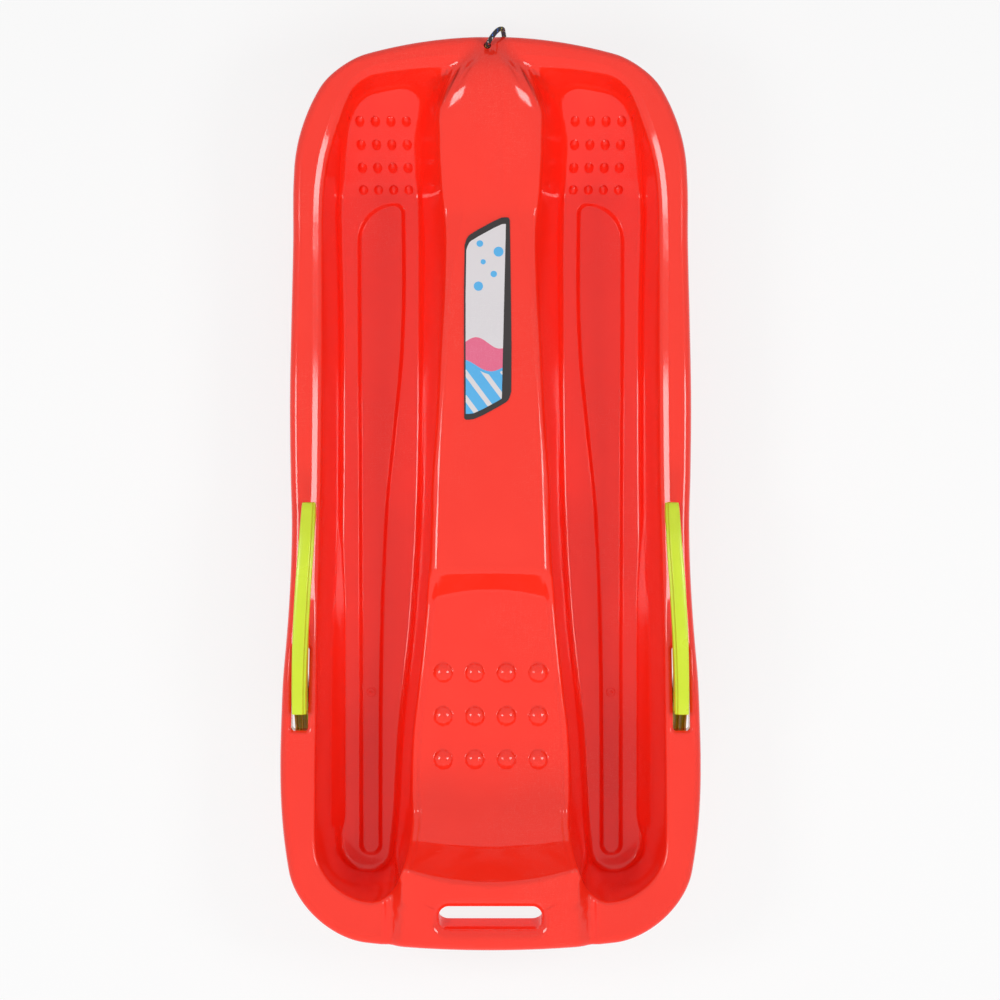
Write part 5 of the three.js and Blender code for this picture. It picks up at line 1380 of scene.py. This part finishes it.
def bar_section(share, shrink=1.0, ahead=0.0):
    """A cross-section of the grip bar with soft corners and a small step along its inner side."""
    y = PIN_Y + share * LEVER_REACH
    top, under, half, bend = (float(curve(share * LEVER_REACH)[0])
                              for curve in (lever_top_of, lever_under_of, lever_width_of, lever_bend_of))
    top = PIN_Z + top
    under = max(PIN_Z + under, RIM_HEIGHT + REST_GAP if y > SLOT_FRONT else 0.0)
    corner = min((top - under) * 0.16, LEVER_HALF_WIDTH * 0.3)
    middle = (top + under) / 2
    low = [(half * 0.72, under), (half * 0.88, under + corner), (half, middle)]
    outer = low + [(half, middle), (half, top - corner), (half * 0.9, top)]
    inner = [(half * 0.52, top), (half * 0.6, top - corner * 0.5), (half * 0.66, top - corner * 1.3),
             (half, top - corner * 1.5)] + low[::-1]
    outline = softened_outline(outer + [(-x, z) for x, z in inner], 2)
    return [(SLOT_CENTRE - bend + x * shrink, y + ahead, middle + (z - middle) * shrink) for x, z in outline]


def bar_object(name):
    shares = np.concatenate([np.linspace(*span)[:-1] for span in BAR_SPANS] + [[1.0]])
    sections = [bar_section(BAR_REAR, *end) for end in BAR_REAR_END]
    sections += [bar_section(share) for share in shares]
    sections += [bar_section(1.0, *end) for end in BAR_FRONT_END]
    count = len(sections[0])
    end = (len(sections) - 1) * count
    faces = ring_faces(len(sections), count)
    faces += [list(range(count)), [end + k for k in range(count)][::-1]]
    return mesh_object(name, [p for section in sections for p in section], faces, [lime])


def blade_point(along, square):
    return (PIN_Y - along * math.cos(BLADE_FALL) - square * math.sin(BLADE_FALL),
            PIN_Z - along * math.sin(BLADE_FALL) + square * math.cos(BLADE_FALL))


def build_lever(side, word):
    bar = bar_object(f"brake_grip_{word}")
    blade = extruded(f"brake_blade_{word}", [blade_point(*p) for p in (
        (0, BLADE_UNDER), (BLADE_REACH - BLADE_TIP_CHAMFER, BLADE_UNDER),
        (BLADE_REACH, BLADE_UNDER + BLADE_TIP_CHAMFER), (BLADE_REACH, BLADE_TIP_TOP), (0, BLADE_ROOT_TOP),
    )], SLOT_CENTRE - WEB_HALF, SLOT_CENTRE + WEB_HALF)
    inner = WEB_HALF - BLADE_WALL
    pocket_end = BLADE_REACH - 2 * BLADE_WALL
    pocket_floor = BLADE_UNDER + BLADE_WALL
    for side_from, side_to in ((-1, -BLADE_RIB_SHARE), (BLADE_RIB_SHARE, 1)):
        cut(blade, extruded("pocket", [blade_point(*p) for p in (
            (BLADE_POCKET_START, pocket_floor), (pocket_end, pocket_floor), (pocket_end, BLADE_POCKET_TOP),
            (BLADE_POCKET_START, BLADE_POCKET_TOP),
        )], SLOT_CENTRE + inner * side_from, SLOT_CENTRE + inner * side_to))
    softened(blade, BLADE_SOFT)
    rear, front, low = WEB_LOW_SHARES
    web = extruded(f"brake_web_{word}", [(PIN_Y + y, PIN_Z + z) for y, z in (
        (WEB_REAR, HUB_RADIUS), (WEB_REAR * rear, -HUB_RADIUS * low), (HUB_RADIUS * front, -HUB_RADIUS * low),
        (WEB_FRONT, HUB_RADIUS), (WEB_FRONT, HUB_RADIUS + BLADE_WALL), (WEB_REAR, HUB_RADIUS + BLADE_WALL),
    )], SLOT_CENTRE - WEB_HALF, SLOT_CENTRE + WEB_HALF)
    softened(web, WEB_SOFT)
    half_hub = [(WEB_HALF - HUB_EDGE, HUB_RADIUS), (WEB_HALF, HUB_RADIUS - HUB_EDGE),
                (WEB_HALF, PIN_RADIUS + REST_GAP)]
    hub = turned(f"brake_hub_{word}", [(-x, radius) for x, radius in half_hub[::-1]] + half_hub,
                 (SLOT_CENTRE, PIN_Y, PIN_Z), HUB_SIDES, lime)
    pieces = [bar, blade, web, hub]
    if side < 0:
        for piece in pieces:
            mirrored(piece)
    for piece in pieces[1:]:
        piece.parent = bar
    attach(bar, f"brake_{word}")
    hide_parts(f"brake_lever_{word}")


# Collars. Their soft lower edge: the way in from each face and the rise from the bottom
COLLAR_INSET = 0.03
COLLAR_SOFT = 0.7
COLLAR_SOFT_IN = 0.22
COLLAR_SOFT_UP = 0.2


def collar(name, half_x, half_y, corner, thickness, bottom, top, place):
    """A ring that hangs down round an opening, with soft lower edges."""
    levels = [
        (COLLAR_INSET, top), (COLLAR_INSET, bottom + COLLAR_SOFT), (COLLAR_SOFT_IN, bottom + COLLAR_SOFT_UP),
        (COLLAR_SOFT, bottom), (thickness - COLLAR_SOFT, bottom),
        (thickness - COLLAR_SOFT_IN, bottom + COLLAR_SOFT_UP), (thickness, bottom + COLLAR_SOFT),
        (thickness, top),
    ]
    points = []
    for grow, height in levels:
        radius = corner + grow
        for centre, out in round_corners(half_x + grow, half_y + grow, radius):
            x, y = centre + radius * out
            points.append((*place(x, y, (height - bottom) / (top - bottom)), height))
    faces = ring_faces(len(levels), len(points) // len(levels), closed=True)
    made = mesh_object(name, points, faces, [red])
    made.data.set_sharp_from_angle(angle=SHARP_RING)
    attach(made, "sled")


def build_grip_collar():
    top = PLATFORM_HEIGHT - PLATFORM_FALL - GRIP_DISH_DEPTH - WALL / 4
    middle = (GRIP_FRONT + GRIP_REAR) / 2
    collar("grip_collar", GRIP_HALF, GRIP_OPENING / 2, GRIP_ROUND, WALL, top - GRIP_COLLAR_DEPTH, top,
           lambda x, y, up: (x, middle + y + (1 - up) * GRIP_COLLAR_LEAN * (0.5 - y / GRIP_OPENING)))


def build_pin_and_collar(side, word):
    shank = SLOT_HALF_WIDTH + LUG_THICKNESS + REST_GAP
    head = [(shank + PIN_HEAD_THICKNESS - drop, radius) for drop, radius in PIN_HEAD_DOME]
    head += [(shank, PIN_HEAD_RADIUS), (shank, PIN_RADIUS)]
    profile = [(-along, radius) for along, radius in head] + head[::-1]
    pin = turned(f"brake_pin_steel_{word}", profile, (side * SLOT_CENTRE, PIN_Y, PIN_Z), PIN_SIDES, steel)
    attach(pin, "sled")
    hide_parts(f"brake_pin_{word}")
    middle = (SLOT_FRONT + SLOT_REAR) / 2
    collar(f"slot_collar_{word}", SLOT_HALF_WIDTH, (SLOT_FRONT - SLOT_REAR) / 2, SLOT_ROUND, LUG_THICKNESS,
           PIN_Z - LUG_DROP, RIM_HEIGHT - (WALL + SLOT_LIP_DROP) / 2,
           lambda x, y, up: (side * (SLOT_CENTRE + SLOT_LEAN * (PIN_Y - middle - y)) + x, middle + y))


# Sticker: a plain pattern of drifts, stripes and dots on a pale ground
LABEL_LEFT = -26.3
LABEL_WIDTH = 47.5
LABEL_LENGTH = 200.7
LABEL_FRONT = NOSE_ANCHOR - 4.9
LABEL_SHARES = [
    [0, 0.0149], [0.015, 0.004], [0.057, 0], [0.251, 0.005], [0.861, 0.0837], [0.937, 0.1016],
    [1, 0.153], [0.958, 0.9801], [0.941, 0.9955], [0.886, 1], [0.749, 0.9975], [0.145, 0.9193],
    [0.061, 0.8989], [0, 0.852],
]
LABEL_THICKNESS = 0.5
LABEL_EDGE_LENGTH = 5.0
LABEL_FINE_LENGTH = 1.2

# The dark border is wide on the right and at both ends
BORDER = 1.6
BORDER_RIGHT = 4.2
BORDER_END_SHIFTS = (0.0, -4.2, 5.0)
PANEL_RIGHT = 0.865
PANEL_SLANT = 0.1

# Each drift: its level, its swing, the waves across and where the first one starts.
# Each dot: shares across and along, and its radius
LOW_DRIFT = (0.27, 0.03, 0.8, 0.3)
HIGH_DRIFT = (0.38, 0.028, 1.0, 0.0)
STRIPE_PITCH = 15.0
STRIPE_HALF = 2.4
STRIPE_ACROSS = (0.8, 0.6)
STRIPE_TO_DRIFT = 3.0
DOTS = [(0.3, 0.66, 4.6), (0.62, 0.72, 3.2), (0.4, 0.78, 2.6), (0.72, 0.83, 4.9), (0.33, 0.87, 3.3)]

# How far the prints stand above the border
DOT_LIFT = 0.03
STRIPE_LIFT = 0.03
LOW_DRIFT_LIFT = 0.02
HIGH_DRIFT_LIFT = 0.015
PANEL_LIFT = 0.01

# The sticker's materials, by their place in its list
BLACK, PALE, BLUE, PINK = range(4)


def inside_polygon(points):
    """A measure that is the distance inside a convex outline, turning anticlockwise."""
    points = np.array(points)
    run = np.roll(points, -1, axis=0) - points
    run /= np.hypot(*run.T)[:, None]

    def measure(x, y):
        far = [run_x * (y - b) - run_y * (x - a) for (a, b), (run_x, run_y) in zip(points, run)]
        return np.min(far, axis=0)

    return measure


def build_label():
    outline = softened_outline([(LABEL_LEFT + across * LABEL_WIDTH, LABEL_FRONT + (along - 1) * LABEL_LENGTH)
                                for across, along in LABEL_SHARES], 1)
    measure = inside_polygon(outline)
    count = len(outline)
    plan = np.vstack([outline, np.mean(outline, axis=0)])
    faces = np.array([(i, (i + 1) % count, count) for i in range(count)])
    plan, faces = refined(plan, faces, lambda x, y, half: np.full(len(x), LABEL_EDGE_LENGTH))
    low = SPINE_HEIGHT + REST_GAP
    high = low + LABEL_THICKNESS

    def across(x):
        return (x - LABEL_LEFT) / LABEL_WIDTH

    def along(y):
        return (y - LABEL_FRONT + LABEL_LENGTH) / LABEL_LENGTH

    def drift(x, y, level, swing, waves, start):
        return (level + swing * np.sin(2 * math.pi * (waves * across(x) + start)) - along(y)) * LABEL_LENGTH

    def stripes(x, y):
        place = (x * STRIPE_ACROSS[0] + y * STRIPE_ACROSS[1]) / STRIPE_PITCH
        stripe = STRIPE_HALF - np.abs((place % 1.0) - 0.5) * STRIPE_PITCH
        return np.minimum(stripe, drift(x, y, *LOW_DRIFT) - STRIPE_TO_DRIFT)

    def dots(x, y):
        x, y = x - LABEL_LEFT, y - LABEL_FRONT
        return np.max([radius - np.hypot(x - u * LABEL_WIDTH, y + (1 - v) * LABEL_LENGTH)
                       for u, v, radius in DOTS], axis=0)

    def panel(x, y):
        """Inside the printed ground."""
        right = (PANEL_RIGHT - across(x) + PANEL_SLANT * along(y)) * LABEL_WIDTH - BORDER_RIGHT
        return np.minimum.reduce([right] + [measure(x, y + shift) - BORDER for shift in BORDER_END_SHIFTS])

    def on_panel(pattern):
        return lambda x, y: np.minimum(panel(x, y), pattern(x, y))

    layers = [
        (on_panel(dots), BLUE, DOT_LIFT), (on_panel(stripes), PALE, STRIPE_LIFT),
        (on_panel(lambda x, y: drift(x, y, *LOW_DRIFT)), BLUE, LOW_DRIFT_LIFT),
        (on_panel(lambda x, y: drift(x, y, *HIGH_DRIFT)), PINK, HIGH_DRIFT_LIFT), (panel, PALE, PANEL_LIFT),
    ]
    rest = refined(plan, faces, lambda x, y, half: near_size(
        np.min([np.abs(region(x, y)) for region, _, _ in layers], axis=0), half, LABEL_FINE_LENGTH))
    parts = []
    for region, colour, lift in layers:
        parts.append((*used_only(*opened(*rest, region)), colour, lift))
        rest = opened(*rest, lambda x, y, r=region: -r(x, y))
    parts.append((*rest, BLACK, 0.0))
    points, triangles, slots, base = [], [], [], 0
    for plan, faces, colour, lift in parts:
        points.append(np.column_stack([plan, np.full(len(plan), high + lift)]))
        triangles.append(faces + base)
        slots += [colour] * len(faces)
        base += len(plan)
    points += [np.column_stack([outline, np.full(count, height)]) for height in (high, low)]
    sides = [(base + i, base + count + i, base + count + (i + 1) % count, base + (i + 1) % count)
             for i in range(count)]
    under = [list(range(base + count, base + 2 * count))[::-1]]
    made = mesh_object("sticker", np.vstack(points), np.vstack(triangles).tolist() + sides + under,
                       [black_film, pale_film, blue_film, pink_film], smooth=False)
    made.data.polygons.foreach_set("material_index", slots + [BLACK] * (count + 1))
    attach(made, "sled")
    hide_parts("label")


# Rope, knots and tie
def knot(name, centre, direction):
    """The rope tied once over itself, seen from outside as a rounded stopper."""
    direction = Vector(direction).normalized()
    turn = direction.to_track_quat("Z", "Y")
    t = np.linspace(0, 2 * math.pi, KNOT_STEPS + 1)[:-1]
    wide, tall = (KNOT_RADIUS - ROPE_RADIUS) / 3, KNOT_LENGTH / 2 - ROPE_RADIUS
    loop = np.column_stack([
        wide * (np.sin(t) + 2 * np.sin(2 * t)), wide * (np.cos(t) - 2 * np.cos(2 * t)), -tall * np.sin(3 * t),
    ])
    loop = np.vstack([loop, loop[:2]])
    placed = np.array([turn @ Vector(p) for p in loop]) + np.array(centre)
    wrapped = tube(name, placed, ROPE_RADIUS * KNOT_SHRINK, KNOT_SIDES, cord_braid)
    ahead = np.linspace(-KNOT_LENGTH / 2, KNOT_LENGTH / 2, KNOT_CORE_POINTS)
    line = np.array([np.array(centre) + np.array(direction) * s for s in ahead])
    core = tube(f"{name}_core", line, ROPE_RADIUS * KNOT_SHRINK, KNOT_SIDES, cord_braid)
    core.parent = wrapped
    return wrapped


def build_tie(coil):
    angle = math.radians(TIE_ANGLE)
    outward = np.array([math.cos(angle), math.sin(angle), 0])
    sideways = np.array([math.sin(angle), -math.cos(angle), 0])
    from_centre = coil - np.array([COIL_X, COIL_Y, 0])
    near = (np.abs(from_centre @ sideways) < TIE_WIDTH) & (from_centre @ outward > 0)
    reach = from_centre[near] @ outward
    room = ROPE_RADIUS + TIE_CLEARANCE
    half_x, half_z = (reach.max() - reach.min()) / 2 + room, COIL_PITCH / 2 + room
    middle = (reach.max() + reach.min()) / 2
    centre = np.array([COIL_X, COIL_Y, 0]) + outward * middle
    centre[2] = COIL_UNDER + ROPE_RADIUS + COIL_PITCH / 2
    half_w, half_t = TIE_WIDTH / 2, TIE_THICKNESS / 2
    edge, foot = TIE_GROOVE_EDGES
    section = [(-half_t, -half_w + TIE_SOFT), (-half_t + TIE_SOFT, -half_w), (half_t - TIE_SOFT, -half_w),
               (half_t, -half_w + TIE_SOFT), (half_t, -edge), (half_t - TIE_GROOVE, -foot)]
    section += [(out, -aside) for out, aside in section[::-1]]
    points = []
    loop = round_corners(half_x, half_z, TIE_ROUND)
    for corner, normal in loop:
        place = corner + normal * (TIE_ROUND + half_t)
        for out, aside in section:
            flat = place + normal * out
            points.append(centre + outward * flat[0] + np.array([0, 0, 1]) * flat[1] + sideways * aside)
    band = mesh_object("coil_band", points, ring_faces(len(loop), len(section), closed=True), [tie_black])
    band.data.set_sharp_from_angle(angle=SHARP_RING)
    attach(band, "sled")
    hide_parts("coil_tie")
    return band


def build_rope():
    ring = np.arange(KNOT_SEAT_POINTS) * 2 * math.pi / KNOT_SEAT_POINTS
    hole_x, hole_y = ROPE_HOLE
    round_x, round_y = (KNOT_RADIUS * KNOT_SEAT_SHARE * turn for turn in (np.cos(ring), np.sin(ring)))
    knot_top = float(np.min(hull_under(hole_x + round_x, hole_y + round_y))) - REST_GAP
    rim = float(hull_top(np.array(hole_x), np.array(hole_y)))
    coil = coil_points()
    start_x, start_y, start_z = coil[0]
    r = ROPE_RADIUS
    line = [
        (hole_x, hole_y, knot_top + REST_GAP),
        (hole_x, hole_y, (knot_top + rim) / 2 + r),
        (hole_x, hole_y, rim + r * 1.5),
        (hole_x + ARCH_REACH_X * 0.35, hole_y + r, rim + ARCH_RISE * 0.9),
        (hole_x + ARCH_REACH_X, hole_y + r * 3.2, rim + ARCH_RISE * 1.22),
        (hole_x + ARCH_REACH_X * 1.75, HANG_Y - r, rim + ARCH_RISE * 0.9),
        (HANG_X - r, HANG_Y + r * 0.2, rim + ARCH_RISE * 0.2),
        (HANG_X - r * 0.4, HANG_Y + r * 0.4, RIM_HEIGHT + r * 6),
        (HANG_X, HANG_Y + r * 0.2, RIM_HEIGHT - r * 3),
        (HANG_X, HANG_Y, RIM_HEIGHT / 2),
        (HANG_X, HANG_Y - r * 0.6, start_z + r * 9),
        (start_x, HANG_Y - r * 3, start_z + r * 2.6),
        (start_x, HANG_Y - r * 8, start_z + r * 0.3),
        (start_x, HANG_Y - r * 13, start_z),
        (start_x, (HANG_Y + start_y) / 2 - r * 6, start_z),
        (start_x, start_y + r * 2, start_z),
        (start_x, start_y + REST_GAP, start_z),
    ]
    whole = np.vstack([catmull(line, 12), coil])
    rope = tube("tow_rope_braid", resampled(whole, ROPE_STEP)[0], ROPE_RADIUS, ROPE_SIDES, cord_braid)
    stopper = knot("stopper_knot", (hole_x, hole_y, knot_top - KNOT_LENGTH / 2), (0, 0, 1))
    heading = coil[-1] - coil[-2]
    heading /= np.linalg.norm(heading)
    end_knot = knot("end_knot", coil[-1] + heading * (KNOT_LENGTH / 2 + REST_GAP), heading)
    band = build_tie(coil)
    for piece, nodes in ((rope, ("tow_rope", "tow_rope_coil")), (stopper, ("tow_rope_knot",)),
                         (end_knot, ("tow_rope_end_knot",))):
        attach(piece, "sled")
        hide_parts(*nodes)


# Floor and studio light, in metres
FLOOR_HALF = 40.0
FLOOR_COLOUR = 0.86
FLOOR_GLOW = 0.78
FLOOR_ROUGHNESS = 0.9
WORLD_LIGHT = 0.34

# Name, place, size, power, and whether gloss mirrors the lamp
LAMPS = [
    ("soft box at the nose side", (0.0, 2.4, 1.3), (2.2, 0.8), 5.6, False),
    ("soft box at the rear side", (0.0, -2.3, 1.35), (1.8, 0.7), 26.0, False),
    ("lamp on the left", (-1.05, 0.0, 1.4), (0.45, 0.5), 8.2, True),
    ("lamp on the right", (1.05, 0.0, 1.4), (0.45, 0.5), 8.2, True),
]


def build_floor():
    material, wires, shader = finish("pale floor")
    shader.inputs["Base Color"].default_value = (FLOOR_COLOUR, FLOOR_COLOUR, FLOOR_COLOUR, 1)
    shader.inputs["Roughness"].default_value = FLOOR_ROUGHNESS
    glow = wires.node("ShaderNodeEmission")
    glow.inputs["Strength"].default_value = 1.0
    mix = wires.node("ShaderNodeMixShader")
    wires.feed(mix.inputs[0], wires.math("MULTIPLY", wires.background_rays(), FLOOR_GLOW))
    wires.feed(mix.inputs[1], shader.outputs[0])
    wires.feed(mix.inputs[2], glow.outputs[0])
    wires.feed(material.node_tree.nodes["Material Output"].inputs[0], mix.outputs[0])
    far = FLOOR_HALF * 1000
    points = [(-far, -far, 0), (far, -far, 0), (far, far, 0), (-far, far, 0)]
    mesh_object("floor", points, [(0, 1, 2, 3)], [material])


def area_light(name, place, size, power, mirrored_in_gloss):
    """A lamp that faces the sled's middle."""
    data = bpy.data.lights.new(name, "AREA")
    data.shape = "RECTANGLE"
    data.size, data.size_y = size
    data.energy = power
    lamp = bpy.data.objects.new(name, data)
    lamp.location = place
    lamp.rotation_euler = (Vector((0, 0, 0)) - Vector(place)).to_track_quat("-Z", "Y").to_euler()
    lamp.visible_glossy = mirrored_in_gloss
    scene.collection.objects.link(lamp)


def build_light():
    world = bpy.data.worlds.new("studio")
    world.use_nodes = True
    backdrop = world.node_tree.nodes["Background"]
    backdrop.inputs["Color"].default_value = (1, 1, 1, 1)
    wires = Wires(world.node_tree)
    wires.feed(backdrop.inputs["Strength"], wires.span(wires.background_rays(), 0, 1, WORLD_LIGHT, 1.0))
    scene.world = world
    for lamp in LAMPS:
        area_light(*lamp)
    scene.view_settings.view_transform = "Standard"


add_camera()
build_rope()
build_hull()
for side, word in ((1, "right"), (-1, "left")):
    build_lever(side, word)
    build_pin_and_collar(side, word)
build_grip_collar()
build_label()
build_floor()
build_light()
